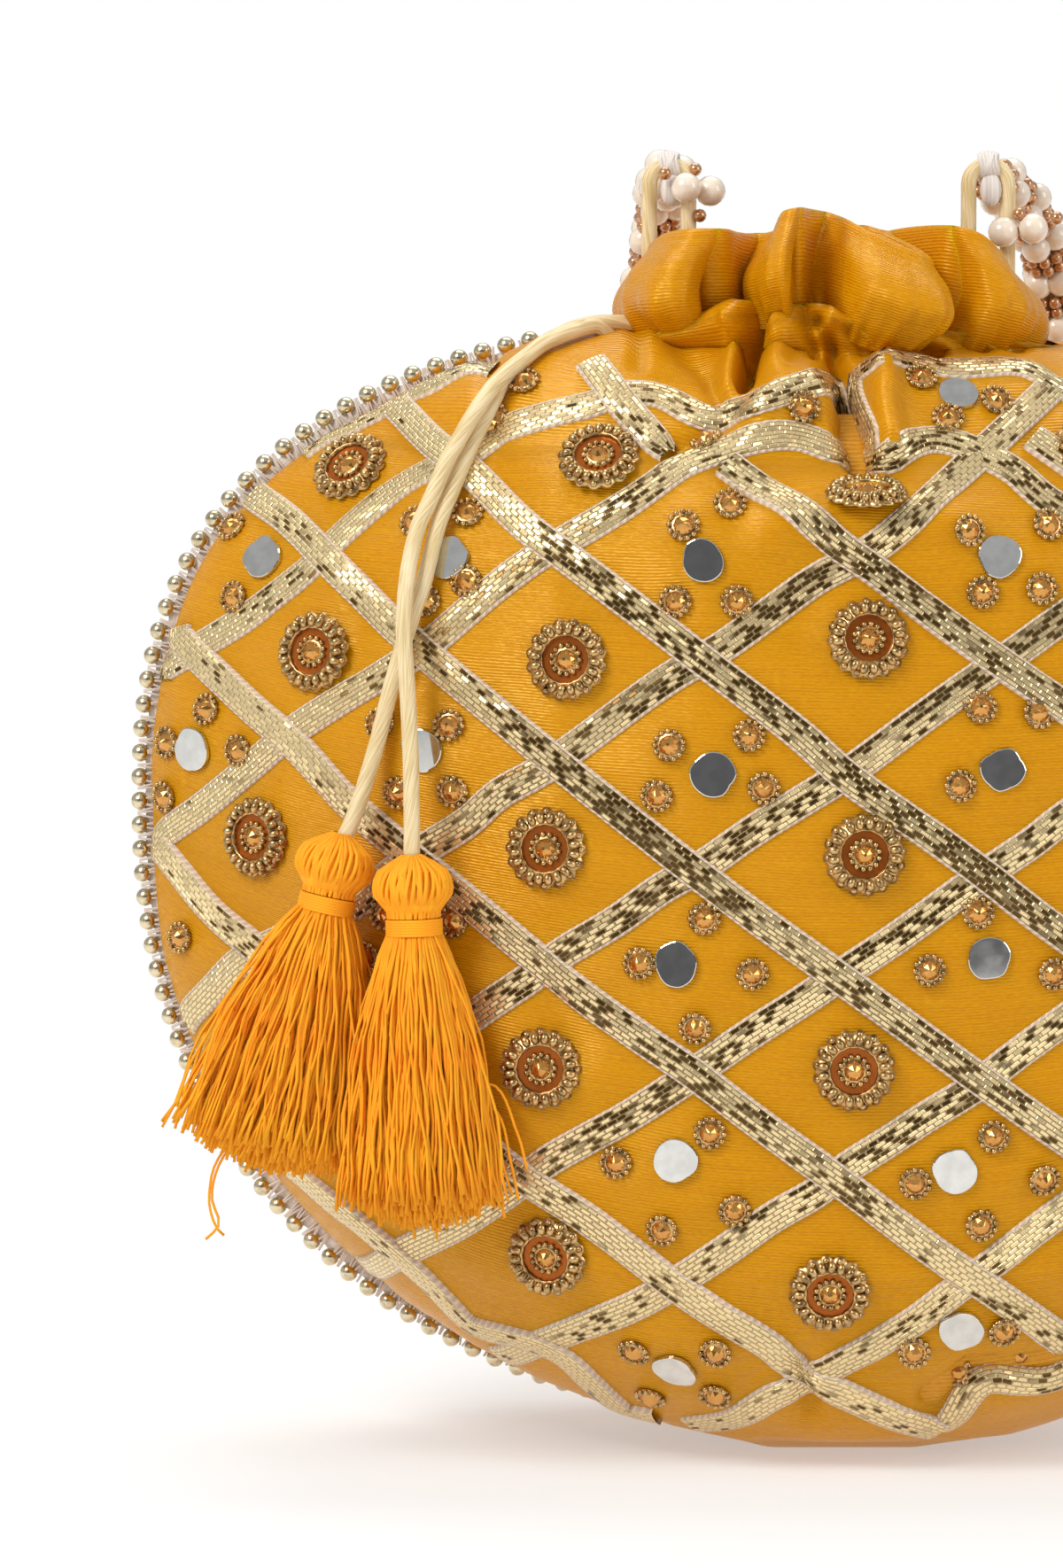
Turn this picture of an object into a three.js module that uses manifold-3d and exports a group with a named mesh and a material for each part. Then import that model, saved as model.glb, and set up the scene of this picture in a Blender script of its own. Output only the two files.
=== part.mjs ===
// Potli bag: a gathered satin pouch with a beaded seam, a ribbon lattice that
// holds flowers, mirrors and small stones, a drawstring with two tassels, and a
// beaded rope handle that swings on two cord loops.
// Millimetres, +Z up, the decorated front faces -Y, the seam lies in a plane Y = 0.

import * as THREE from 'three';
import { mergeVertices } from 'three/addons/utils/BufferGeometryUtils.js';
import Module from 'manifold-3d';

const wasm = await Module();
wasm.setup();

// Outline of the pouch in the seam plane
const SEAM_HALF_WIDTH = 116;
const WIDEST_HEIGHT = 108;
const SEAM_RISE = 79;
const SEAM_BASE_HEIGHT = 6.5;
const SHOULDER_EXPONENT = 2.6;
const HIP_EXPONENT = 2.25;

// Fullness of the pouch, measured on its middle section
const HALF_DEPTH = 50;
const FULLEST_HEIGHT = 85;
const CROWN_RISE = 100.8;
const BELLY_DROP = 88;
const CROWN_EXPONENT = 2.8;
const BELLY_EXPONENT = 3.2;
const GROOVE_HALF_WIDTH = 14;
const FOOT_SETTLE = 1.5;

// Cut of each level from seam to middle
const BODY_ROUNDNESS = 2.2;
const BODY_SHARPNESS = 0.75;
const NECK_ROUNDNESS = 2;
const NECK_SHARPNESS = 0.5;
const LEVEL_DROOP = 1.5;
const LATITUDE_BOTTOM = -89.7;
const LATITUDE_PLEATS = 42;
const LATITUDE_TOP = 77.3;
const ROW_CROWDING = 1.25;
const PLEATS_PER_PANEL = 6;
const PLEAT_DEPTH = 1.6;

// Cloth
const PANEL_THICKNESS = 1.2;
const LINING_THICKNESS = 0.8;
const LINING_CLEARANCE = 1.8;
const LINING_TOP_LATITUDE = 62;
const SEAM_GAP = 0.7;
const CLEARANCE = 0.35;

// Gathered collar: casing for the drawstring, and the frill above it
const CASING_HALF_WIDTH = 32.2;
const CASING_HALF_DEPTH = 15.1;
const CASING_WALL = 5.6;
const CASING_BOTTOM = 181.5;
const CASING_TOP = 191;
const FRILL_CENTRE_X = -3;
const FRILL_HALF_WIDTH = 36.5;
const FRILL_HALF_DEPTH = 24;
const FRILL_TOP = 206;
const FRILL_WALL = 1.6;
const FRILL_FLARE = 3.5;
const FRILL_WAVES = 10;
const FRILL_WAVE_DEPTH = 1.7;

// Seam lace: a woven tape with a chain of gold balls on its edge
const TAPE_THICKNESS = 0.6;
const TAPE_INSIDE = 0.9;
const TAPE_OUTSIDE = 3.3;
const BEAD_DIAMETER = 3.1;
const TAPE_STEP = 10;
const BEAD_PITCH = 4.35;
const BEAD_OFFSET = 4;

// Trim on the front
const RIBBON_WIDTH = 5.4;
const RIBBON_THICKNESS = 0.5;
const RIBBON_STEP = 17;
const RIBBON_LIFT = 0.6;
const RIBBON_LOWEST = 0.6;
const RIBBON_HINDMOST = 2;
const FLOWER_RADIUS = 6.7;
const FLOWER_HEIGHT = 2.3;
const RECESS_RADIUS = 3.9;
const RECESS_FLOOR = 0.9;
const STONE_RADIUS = 2.85;
const STONE_HEIGHT = 1.7;
const STONE_SUNK = 0.7;
const MIRROR_RADIUS = 3.7;
const MIRROR_THICKNESS = 0.6;
const TRIM_RISE = 0.05;

// Drawstring
const CORD_DIAMETER = 2.7;
const CORD_CLEARANCE = 0.45;
const LOOP_HALF_WIDTH = CASING_HALF_WIDTH - CASING_WALL / 2;
const LOOP_HALF_DEPTH = CASING_HALF_DEPTH - CASING_WALL / 2;
const LOOP_UPPER_HEIGHT = 188.9;
const LOOP_LOWER_HEIGHT = 185.7;
const EXIT_ANGLE = 20;
const LOOP_START_TURN = 9;
const LOOP_END_TURN = 348;

// Handle
const LOOP_CORD_DIAMETER = 2.7;
const ARCH_SPAN = 6.6;
const ARCH_OUTER_FOOT = 197.6;
const ARCH_INNER_FOOT = 193;
const ARCH_AXIS_HEIGHT = 216;
const ARCH_Y = 6;
const ARCH_OFFSET = 24;
const ARCH_LEAN = 3;
const EYELET_RADIUS = 4.1;
const EYELET_CORD_DIAMETER = 2.8;
const ROPE_DIAMETER = 9.6;
const ROPE_WAIST_DIAMETER = 8;
const ROPE_SIDES = 8;
const ROPE_RING_PITCH = 9;

// The front view in which the trim was laid out, as a picture of 1200 by 1770
const VIEW_CENTRE_PX = 955;
const VIEW_FLOOR_PX = 1628;
const VIEW_HALF_WIDTH_PX = 773.3;
const VIEW_HEIGHT_PX = 1246.7;
const VIEW_MIDDLE_PX = [600, 885];
const VIEW_DISTANCE = 997;
const VIEW_RISE = 70;

// Ribbon routes in the front view, picture coordinates
const RIBBON_ROUTES_PX = [
  [[325, 500], [382, 470], [452, 446], [507, 425], [556, 422], [625, 418], [659, 409], [681, 428],
    [705, 460], [755, 515], [790, 520], [854, 550], [947, 615], [1041, 685], [1117, 740], [1197, 795],
    [1301, 871], [1432, 959], [1513, 1023], [1629, 1079]],
  [[178, 764], [237, 723], [313, 671], [382, 608], [451, 550], [541, 505], [625, 467], [695, 446],
    [743, 446], [805, 472], [882, 442], [923, 432], [952, 463], [956, 505]],
  [[172, 965], [221, 917], [296, 855], [382, 792], [472, 737], [555, 667], [642, 608], [736, 550],
    [816, 508], [885, 491], [945, 515], [985, 500], [966, 449], [978, 411], [1041, 408], [1145, 413],
    [1197, 439], [1285, 467], [1369, 505], [1459, 550], [1528, 608], [1632, 698], [1722, 755]],
  [[956, 505], [985, 528], [1020, 505], [1075, 499], [1145, 532], [1197, 574], [1268, 608],
    [1355, 667], [1438, 737], [1528, 792], [1614, 855], [1689, 917], [1735, 962]],
  [[212, 1148], [281, 1079], [397, 1023], [478, 959], [563, 896], [660, 835], [747, 771], [816, 730],
    [923, 653], [992, 615], [1058, 557], [1127, 494], [1186, 439], [1240, 405]],
  [[300, 1300], [420, 1220], [556, 1132], [634, 1076], [748, 1002], [850, 938], [960, 870],
    [1093, 773], [1200, 685], [1320, 591], [1420, 501], [1455, 462]],
  [[392, 1450], [457, 1412], [581, 1340], [706, 1262], [850, 1165], [949, 1100], [1083, 1007],
    [1199, 924], [1327, 823], [1438, 730], [1521, 650], [1622, 562]],
  [[560, 1530], [663, 1495], [781, 1436], [872, 1374], [953, 1320], [1048, 1259], [1136, 1199],
    [1250, 1125], [1396, 1005], [1516, 905], [1621, 802], [1705, 720]],
  [[780, 1600], [828, 1594], [917, 1554], [1035, 1489], [1123, 1424], [1200, 1365], [1300, 1305],
    [1450, 1200], [1560, 1115], [1671, 1026], [1725, 962]],
  [[1040, 1604], [1076, 1592], [1094, 1571], [1117, 1554], [1200, 1558], [1264, 1536], [1376, 1490],
    [1435, 1436], [1506, 1377], [1544, 1347]],
  [[455, 462], [535, 536], [659, 643], [795, 747], [899, 826], [963, 882], [1083, 966], [1199, 1055],
    [1312, 1130], [1440, 1215], [1610, 1320]],
  [[286, 560], [389, 650], [472, 730], [583, 823], [776, 977], [949, 1104], [1104, 1217], [1199, 1284],
    [1329, 1358], [1453, 1418], [1514, 1448]],
  [[196, 710], [289, 802], [394, 905], [514, 1005], [660, 1125], [776, 1206], [953, 1337], [1117, 1455],
    [1200, 1505], [1300, 1530], [1345, 1530]],
  [[185, 962], [239, 1026], [288, 1068], [430, 1200], [569, 1312], [705, 1406], [811, 1483],
    [917, 1554], [1010, 1590], [1050, 1602]],
  [[370, 1350], [439, 1406], [510, 1471], [575, 1503], [646, 1534], [705, 1578]],
];

// Flowers, mirrors and stones in the front view; on the right, past the
// picture's edge at 1200, the left side is mirrored.
const FLOWERS_PX = [
  [396, 528], [355, 736], [640, 745], [676, 517], [978, 560], [980, 722], [290, 945], [617, 958],
  [611, 1206], [976, 965], [964, 1208], [618, 1418], [937, 1459], [1514, 528], [1555, 736],
  [1270, 745], [1234, 510], [1620, 945], [1293, 958], [1299, 1206], [1262, 1425],
];
const MIRRORS_PX = [
  [297, 630], [218, 846], [507, 629], [476, 846], [794, 634], [805, 875], [1082, 446], [1127, 628],
  [1131, 869], [764, 1088], [1116, 1080], [762, 1308], [1078, 1321], [762, 1546], [1085, 1500],
  [460, 1075], [1613, 630], [1692, 846], [1403, 629], [1434, 846], [1450, 1075],
];
const STONES_PX = [
  [263, 596], [265, 674], [234, 801], [190, 838], [270, 847], [187, 899], [469, 589], [528, 580],
  [527, 656], [481, 678], [430, 817], [507, 819], [450, 895], [511, 893], [559, 473], [772, 594],
  [824, 570], [763, 679], [832, 679], [756, 842], [845, 831], [742, 898], [862, 889], [908, 460],
  [1040, 428], [1070, 473], [1124, 453], [1093, 599], [1183, 593], [1109, 669], [1175, 665],
  [1107, 799], [1172, 805], [1083, 887], [798, 499], [205, 1058], [436, 1032], [512, 1040],
  [413, 1081], [795, 1037], [722, 1087], [849, 1099], [785, 1160], [801, 1279], [696, 1312],
  [829, 1366], [748, 1388], [1104, 1031], [1049, 1095], [1189, 1099], [1121, 1283], [1033, 1335],
  [1178, 1331], [1107, 1383], [716, 1524], [808, 1526], [735, 1575], [808, 1574], [1032, 1526],
  [1133, 1502], [1647, 596], [1645, 674], [1676, 801], [1640, 847], [1441, 589], [1382, 580],
  [1383, 656], [1429, 678], [1480, 817], [1403, 819], [1460, 895], [1399, 893], [1351, 473],
];

// Strands of the drawstring, from the casing down to the tassels
const STRAND_LEFT_POINTS = [
  [-34.4, -5.8, 185.7], [-39.5, -7.6, 186.3], [-44.3, -9.9, 186], [-47.3, -11.9, 185],
  [-50.3, -14.3, 183.5], [-53.2, -16.6, 181.6], [-56.2, -18.9, 179.7], [-58.4, -20.8, 177.7],
  [-59.9, -22.4, 175.2], [-61.3, -24, 172.5], [-62.6, -25.7, 169.9], [-64.1, -27.8, 167],
  [-66.3, -30.4, 161.6], [-68.6, -32.9, 155.7], [-70.9, -35.2, 146.4], [-72.8, -35.9, 141],
  [-76, -36.4, 130.4], [-78.3, -37.2, 121.2], [-81, -38.9, 112.1], [-83.2, -40.2, 106.3],
];
const STRAND_RIGHT_POINTS = [
  [-34.4, -5.8, 188.9], [-39.5, -7.4, 189.3], [-44.3, -9.4, 188.9], [-47.3, -12, 187.8],
  [-50.3, -14.8, 186.3], [-53.2, -17.5, 184.3], [-56.2, -20.2, 182], [-58.4, -22.6, 180],
  [-60.3, -24.6, 177.8], [-62, -26.4, 175.3], [-63.8, -28, 172.4], [-65.4, -29.3, 169.5],
  [-67.1, -30.6, 166.6], [-69.5, -32.6, 160.8], [-71.8, -34.8, 155.7], [-73.2, -37.2, 149.4],
  [-73.8, -39.6, 143.7], [-73.9, -41, 137.6], [-73.4, -41.8, 130.7], [-72.8, -44, 119.3],
  [-72.6, -46, 109.5], [-72.6, -46.7, 103.4],
];

// Tassels: a looped head, a bound neck and a skirt of threads
const TASSEL_LEFT = { top: [-84.2, -40.3, 105.6], lean: 10.4, length: 54, skirtRadius: 14.5 };
const TASSEL_RIGHT = { top: [-72.6, -46.8, 102.7], lean: -2, length: 59, skirtRadius: 11.5 };
const TASSEL_HEAD_RADIUS = 6.6;
const TASSEL_HEAD_LENGTH = 10.5;
const TASSEL_BINDING_RADIUS = 4.6;
const TASSEL_BINDING_WIDTH = 2.4;
const TASSEL_HEAD_FLATNESS = 0.88;
const TASSEL_SKIRT_FLATNESS = 0.5;

// Middle line of the bead rope in the rest position, from the left eyelet down
// behind the pouch and up to the right eyelet, as X, Y and the drop below the
// axis of the cord arches
const ROPE_DROPS = [
  [-30, 12, 2.2], [-30, 20, 2], [-30.4, 29, 3.5], [-31.5, 38, 11], [-33, 45.5, 25],
  [-33.5, 51.5, 43], [-31.5, 56, 63], [-26, 59, 84], [-16, 60.5, 101], [-2, 61, 109],
  [13, 60.5, 104], [26, 59, 89], [34, 56.5, 69], [38, 52, 48], [38.5, 46, 29],
  [36.5, 38.5, 15], [32, 29.5, 6.5], [27, 20, 2.8], [24, 12, 2.2],
];

const radians = THREE.MathUtils.degToRad;
const smooth = (value, from, to) => THREE.MathUtils.smoothstep(value, from, to);

// Pouch surface: latitude runs from the bottom seam to the neck, bearing from
// the right seam over the middle of the front to the left seam.
function skinPoint(latitude, bearing, inset) {
  const sine = Math.abs(Math.sin(radians(latitude)));
  const cosine = Math.cos(radians(latitude));
  const upper = latitude >= 0;
  const seamPower = 2 / (upper ? SHOULDER_EXPONENT : HIP_EXPONENT);
  const middlePower = 2 / (upper ? CROWN_EXPONENT : BELLY_EXPONENT);
  const halfWidth = (SEAM_HALF_WIDTH - inset) * cosine ** seamPower;
  const halfDepth = (HALF_DEPTH - inset) * cosine ** middlePower;
  const seamDrop = WIDEST_HEIGHT - SEAM_BASE_HEIGHT;
  const seamHeight = upper
    ? WIDEST_HEIGHT + (SEAM_RISE - inset) * sine ** seamPower
    : WIDEST_HEIGHT - (seamDrop - inset) * sine ** seamPower;
  const groove = Math.max(0, 1 - (halfDepth / GROOVE_HALF_WIDTH) ** 2) ** 2;
  const middleHeight = upper
    ? FULLEST_HEIGHT + (CROWN_RISE - inset) * sine ** middlePower
    : Math.max(0, FULLEST_HEIGHT - BELLY_DROP * sine ** middlePower) + SEAM_BASE_HEIGHT * groove;
  const settled = FOOT_SETTLE * smooth(-latitude, 30, 60);
  const toNeck = smooth(latitude, LATITUDE_PLEATS, LATITUDE_TOP);
  const roundness = THREE.MathUtils.lerp(BODY_ROUNDNESS, NECK_ROUNDNESS, toNeck);
  const sharpness = THREE.MathUtils.lerp(BODY_SHARPNESS, NECK_SHARPNESS, toNeck);
  const across = Math.cos(bearing);
  const along = Math.max(0, 1 - Math.abs(across) ** roundness) ** sharpness;
  const pleat = PLEAT_DEPTH * toNeck * 0.5 * (1 - Math.cos(2 * PLEATS_PER_PANEL * bearing));
  const lift = Math.abs(Math.sin(bearing)) ** LEVEL_DROOP;
  return new THREE.Vector3(
    (halfWidth - pleat) * across,
    -(halfDepth - pleat) * along,
    Math.max(inset, seamHeight + (middleHeight - settled + (upper ? 0 : inset) - seamHeight) * lift),
  );
}

function skinGrid(rows, columns, inset, topLatitude = LATITUDE_TOP) {
  const grid = [];
  for (let row = 0; row <= rows; row += 1) {
    const latitude = THREE.MathUtils.lerp(LATITUDE_BOTTOM, topLatitude, (row / rows) ** ROW_CROWDING);
    const line = [];
    for (let column = 0; column <= columns; column += 1) {
      line.push(skinPoint(latitude, Math.PI * column / columns, inset));
    }
    grid.push(line);
  }
  return grid;
}

// Closed shell between an outer and an inner grid of points
function shellGeometry(outer, inner, wraps) {
  const rows = outer.length;
  const columns = outer[0].length;
  const positions = [];
  for (const point of [...outer.flat(), ...inner.flat()]) {
    positions.push(point.x, point.y, point.z);
  }
  const innerStart = rows * columns;
  const at = (row, column) => row * columns + (column % columns);
  const index = [];
  const quad = (a, b, c, d) => index.push(a, b, c, a, c, d);
  const lastColumn = wraps ? columns : columns - 1;
  for (let row = 0; row < rows - 1; row += 1) {
    for (let column = 0; column < lastColumn; column += 1) {
      const corners = [at(row, column), at(row, column + 1), at(row + 1, column + 1), at(row + 1, column)];
      quad(...corners);
      quad(...corners.reverse().map((corner) => corner + innerStart));
    }
    if (!wraps) {
      const left = [at(row, 0), at(row + 1, 0)];
      const right = [at(row, columns - 1), at(row + 1, columns - 1)];
      quad(left[0], left[1], left[1] + innerStart, left[0] + innerStart);
      quad(right[1], right[0], right[0] + innerStart, right[1] + innerStart);
    }
  }
  for (let column = 0; column < lastColumn; column += 1) {
    const bottom = [at(0, column), at(0, column + 1)];
    const top = [at(rows - 1, column), at(rows - 1, column + 1)];
    quad(bottom[1], bottom[0], bottom[0] + innerStart, bottom[1] + innerStart);
    quad(top[0], top[1], top[1] + innerStart, top[0] + innerStart);
  }
  return facingOut(indexed(positions, index));
}

function indexed(positions, index) {
  const geometry = new THREE.BufferGeometry();
  geometry.setAttribute('position', new THREE.Float32BufferAttribute(positions, 3));
  geometry.setIndex(index);
  return geometry;
}

function signedVolume(geometry) {
  const { position } = geometry.attributes;
  const index = geometry.index.array;
  const corners = [new THREE.Vector3(), new THREE.Vector3(), new THREE.Vector3()];
  let total = 0;
  for (let start = 0; start < index.length; start += 3) {
    corners.forEach((corner, step) => corner.fromBufferAttribute(position, index[start + step]));
    total += corners[0].dot(corners[1].clone().cross(corners[2])) / 6;
  }
  return total;
}

function facingOut(geometry) {
  if (signedVolume(geometry) < 0) {
    geometry.setIndex(Array.from(geometry.index.array).reverse());
  }
  return geometry;
}

// Joins and cuts
function toSolid(geometry) {
  const bare = geometry.clone();
  bare.deleteAttribute('normal');
  bare.deleteAttribute('uv');
  const merged = mergeVertices(bare, 1e-4);
  return new wasm.Manifold(new wasm.Mesh({
    numProp: 3,
    vertProperties: Float32Array.from(merged.attributes.position.array),
    triVerts: Uint32Array.from(merged.index.array),
  }));
}

function toGeometry(solid) {
  const mesh = solid.getMesh();
  return indexed(Array.from(mesh.vertProperties), Array.from(mesh.triVerts));
}

// Round cord along a curve
function cordGeometry(curve, diameter, steps, sides = 8) {
  const section = [];
  for (let side = 0; side < sides; side += 1) {
    const angle = 2 * Math.PI * side / sides;
    section.push(new THREE.Vector2(diameter / 2 * Math.cos(angle), diameter / 2 * Math.sin(angle)));
  }
  return new THREE.ExtrudeGeometry(new THREE.Shape(section), {
    steps, extrudePath: curve, bevelEnabled: false,
  });
}

const vectors = (points) => points.map((point) => new THREE.Vector3(...point));

// Front view: a picture coordinate is followed from the eye to the front panel
const MOST_PULL = 0.2;
const PULL_STEP = 0.01;
const castRows = 64;
const castColumns = 72;
const heightScale = (WIDEST_HEIGHT + SEAM_RISE) / VIEW_HEIGHT_PX;
const widthScale = SEAM_HALF_WIDTH / VIEW_HALF_WIDTH_PX;

function viewPoint([px, py]) {
  return new THREE.Vector3((px - VIEW_CENTRE_PX) * widthScale, 0, (VIEW_FLOOR_PX - py) * heightScale);
}

const eye = viewPoint(VIEW_MIDDLE_PX).add(new THREE.Vector3(0, -VIEW_DISTANCE, VIEW_RISE));
const castSkin = (() => {
  const grid = skinGrid(castRows, castColumns, 0);
  const positions = grid.flat().flatMap((point) => [point.x, point.y - SEAM_GAP, point.z]);
  const index = [];
  const width = castColumns + 1;
  for (let row = 0; row < castRows; row += 1) {
    for (let column = 0; column < castColumns; column += 1) {
      const corner = row * width + column;
      index.push(corner, corner + width, corner + width + 1, corner, corner + width + 1, corner + 1);
    }
  }
  const geometry = indexed(positions, index);
  geometry.computeVertexNormals();
  return new THREE.Mesh(geometry, new THREE.MeshBasicMaterial({ side: THREE.DoubleSide }));
})();

// What the view shows past the seam is drawn in towards the middle of the pouch
function onFront(pixel) {
  const middle = new THREE.Vector3(0, 0, WIDEST_HEIGHT);
  const target = viewPoint(pixel);
  const caster = new THREE.Raycaster();
  for (let pull = 0; pull < MOST_PULL; pull += PULL_STEP) {
    const aim = target.clone().lerp(middle, pull);
    caster.set(eye, aim.sub(eye).normalize());
    const hit = caster.intersectObject(castSkin)[0];
    if (hit) {
      const normal = hit.normal.clone();
      return { point: hit.point, normal: normal.y > 0 ? normal.negate() : normal };
    }
  }
  throw new Error(`the front view misses the pouch at ${pixel}`);
}

// Cloth pieces
const PANEL_ROWS = 15;
const PANEL_COLUMNS = 24;

function panelGeometry(side) {
  const place = (point) => new THREE.Vector3(point.x, side * (-point.y + SEAM_GAP), point.z);
  const outer = skinGrid(PANEL_ROWS, PANEL_COLUMNS, 0).map((line) => line.map(place));
  const inner = skinGrid(PANEL_ROWS, PANEL_COLUMNS, PANEL_THICKNESS).map((line) => line.map(place));
  return shellGeometry(outer, inner, false);
}

function liningGeometry() {
  const rows = 9;
  const columns = 12;
  const inset = PANEL_THICKNESS + LINING_CLEARANCE;
  const sack = (depth) => skinGrid(rows, columns, depth, LINING_TOP_LATITUDE).map((line) => {
    const front = line.map((point) => new THREE.Vector3(point.x, point.y, point.z));
    const back = line.slice(1, -1).reverse().map((point) => new THREE.Vector3(point.x, -point.y, point.z));
    return [...front, ...back];
  });
  return shellGeometry(sack(inset), sack(inset + LINING_THICKNESS), true);
}

// A turned piece with its axis on +Y, set square on the front panel
function setOnFront(geometry, pixel, lift) {
  const { point, normal } = onFront(pixel);
  const turn = new THREE.Quaternion().setFromUnitVectors(new THREE.Vector3(0, 1, 0), normal);
  const spot = point.clone().addScaledVector(normal, lift);
  return geometry.applyQuaternion(turn).translate(spot.x, spot.y, spot.z);
}

// The room that a round piece of trim keeps free of ribbon
function trimRoom(radius, pixel) {
  const reach = radius + 2 * CLEARANCE;
  const room = new THREE.CylinderGeometry(reach, reach, 4 * FLOWER_HEIGHT, 9);
  return toSolid(setOnFront(room, pixel, 0));
}

// Stones are set into the front panel
function frontPanelGeometry(strandTunnels) {
  let panel = toSolid(panelGeometry(-1));
  for (const pixel of STONES_PX) {
    const stone = new THREE.ConeGeometry(STONE_RADIUS, STONE_HEIGHT + STONE_SUNK, 5);
    panel = panel.add(toSolid(setOnFront(stone, pixel, (STONE_HEIGHT - STONE_SUNK) / 2)));
  }
  for (const tunnel of strandTunnels) {
    panel = panel.subtract(tunnel);
  }
  return toGeometry(panel);
}

// Lattice of flat ribbons that lie on the front panel
function ribbonSolid(route) {
  const stops = route.map(onFront);
  const line = new THREE.CatmullRomCurve3(route.map(([px, py]) => new THREE.Vector3(px, py, 0)));
  const length = stops.slice(1).reduce((sum, stop, i) => sum + stop.point.distanceTo(stops[i].point), 0);
  const steps = Math.ceil(length / RIBBON_STEP);
  const places = line.getSpacedPoints(steps).map((spot) => onFront([spot.x, spot.y]));
  const upper = [];
  const lower = [];
  places.forEach((place, i) => {
    const before = places[Math.max(0, i - 1)].point;
    const after = places[Math.min(places.length - 1, i + 1)].point;
    const along = after.clone().sub(before).normalize();
    const side = along.clone().cross(place.normal).normalize().multiplyScalar(RIBBON_WIDTH / 2);
    const low = place.point.clone().addScaledVector(place.normal, RIBBON_LIFT);
    const high = low.clone().addScaledVector(place.normal, RIBBON_THICKNESS);
    upper.push([high.clone().sub(side), high.clone().add(side)]);
    lower.push([low.clone().sub(side), low.clone().add(side)]);
  });
  return toSolid(shellGeometry(upper, lower, false));
}

function latticeGeometry(neighbours) {
  let lattice = ribbonSolid(RIBBON_ROUTES_PX[0]);
  for (const route of RIBBON_ROUTES_PX.slice(1)) {
    lattice = lattice.add(ribbonSolid(route));
  }
  const span = 4 * SEAM_HALF_WIDTH;
  const floorCut = new THREE.BoxGeometry(span, span, span).translate(0, 0, RIBBON_LOWEST - span / 2);
  const seamCut = new THREE.BoxGeometry(span, span, span).translate(0, span / 2 - RIBBON_HINDMOST, 0);
  for (const neighbour of [toSolid(floorCut), toSolid(seamCut), ...neighbours]) {
    if (lattice.intersect(neighbour).volume() > 0) {
      lattice = lattice.subtract(neighbour);
    }
  }
  const pieces = lattice.decompose().sort((a, b) => b.volume() - a.volume());
  return toGeometry(pieces[0]);
}

// The panel grown by the clearance, to cut what lies on it
function grownPanel() {
  const grid = skinGrid(PANEL_ROWS, PANEL_COLUMNS, -CLEARANCE / 2);
  const outer = grid.map((line) => line.map((point) => point.clone().setY(point.y - SEAM_GAP)));
  const inner = skinGrid(PANEL_ROWS, PANEL_COLUMNS, PANEL_THICKNESS * 2);
  return toSolid(shellGeometry(outer, inner, false));
}

// Seam lace
function outlinePoint(share) {
  const latitude = THREE.MathUtils.lerp(LATITUDE_BOTTOM, LATITUDE_TOP, Math.abs(share));
  const seam = skinPoint(latitude, 0, 0);
  return new THREE.Vector3(Math.sign(share) * seam.x, 0, seam.z);
}

function lacePoints(count) {
  const points = [];
  for (let i = 0; i <= count; i += 1) {
    const share = -0.985 + 1.97 * i / count;
    points.push(outlinePoint(Math.abs(share) < 1e-6 ? 1e-6 : share));
  }
  return points;
}

function laceGeometry() {
  const line = new THREE.CatmullRomCurve3(lacePoints(61));
  const spots = line.getSpacedPoints(Math.ceil(line.getLength() / TAPE_STEP));
  const outward = (t) => {
    const along = line.getTangentAt(t);
    return new THREE.Vector3(along.z, 0, -along.x);
  };
  const tape = (height) => spots.map((spot, i) => {
    const out = outward(i / (spots.length - 1));
    if (out.dot(spot.clone().sub(new THREE.Vector3(0, 0, WIDEST_HEIGHT))) < 0) {
      out.negate();
    }
    const rise = new THREE.Vector3(0, height, 0);
    return [
      spot.clone().addScaledVector(out, -TAPE_INSIDE).add(rise),
      spot.clone().addScaledVector(out, TAPE_OUTSIDE).add(rise),
    ];
  });
  let lace = toSolid(shellGeometry(tape(-TAPE_THICKNESS / 2), tape(TAPE_THICKNESS / 2), false));
  const count = Math.floor(line.getLength() / BEAD_PITCH);
  for (let i = 0; i < count; i += 1) {
    const t = (i + 0.5) / count;
    const out = outward(t);
    const spot = line.getPointAt(t);
    if (out.dot(spot.clone().sub(new THREE.Vector3(0, 0, WIDEST_HEIGHT))) < 0) {
      out.negate();
    }
    spot.addScaledVector(out, BEAD_OFFSET);
    const bead = new THREE.OctahedronGeometry(BEAD_DIAMETER / 2, 0);
    bead.translate(spot.x, spot.y, spot.z);
    lace = lace.add(toSolid(bead));
  }
  return toGeometry(lace);
}

// Collar: casing and frill in one gathered band
function collarRing(centreX, halfWidth, halfDepth, height, wave, columns) {
  const ring = [];
  for (let column = 0; column < columns; column += 1) {
    const angle = 2 * Math.PI * column / columns;
    const ripple = wave * Math.cos(FRILL_WAVES * angle);
    ring.push(new THREE.Vector3(
      centreX + (halfWidth + ripple) * Math.cos(angle),
      (halfDepth + ripple) * Math.sin(angle),
      height,
    ));
  }
  return ring;
}

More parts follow.
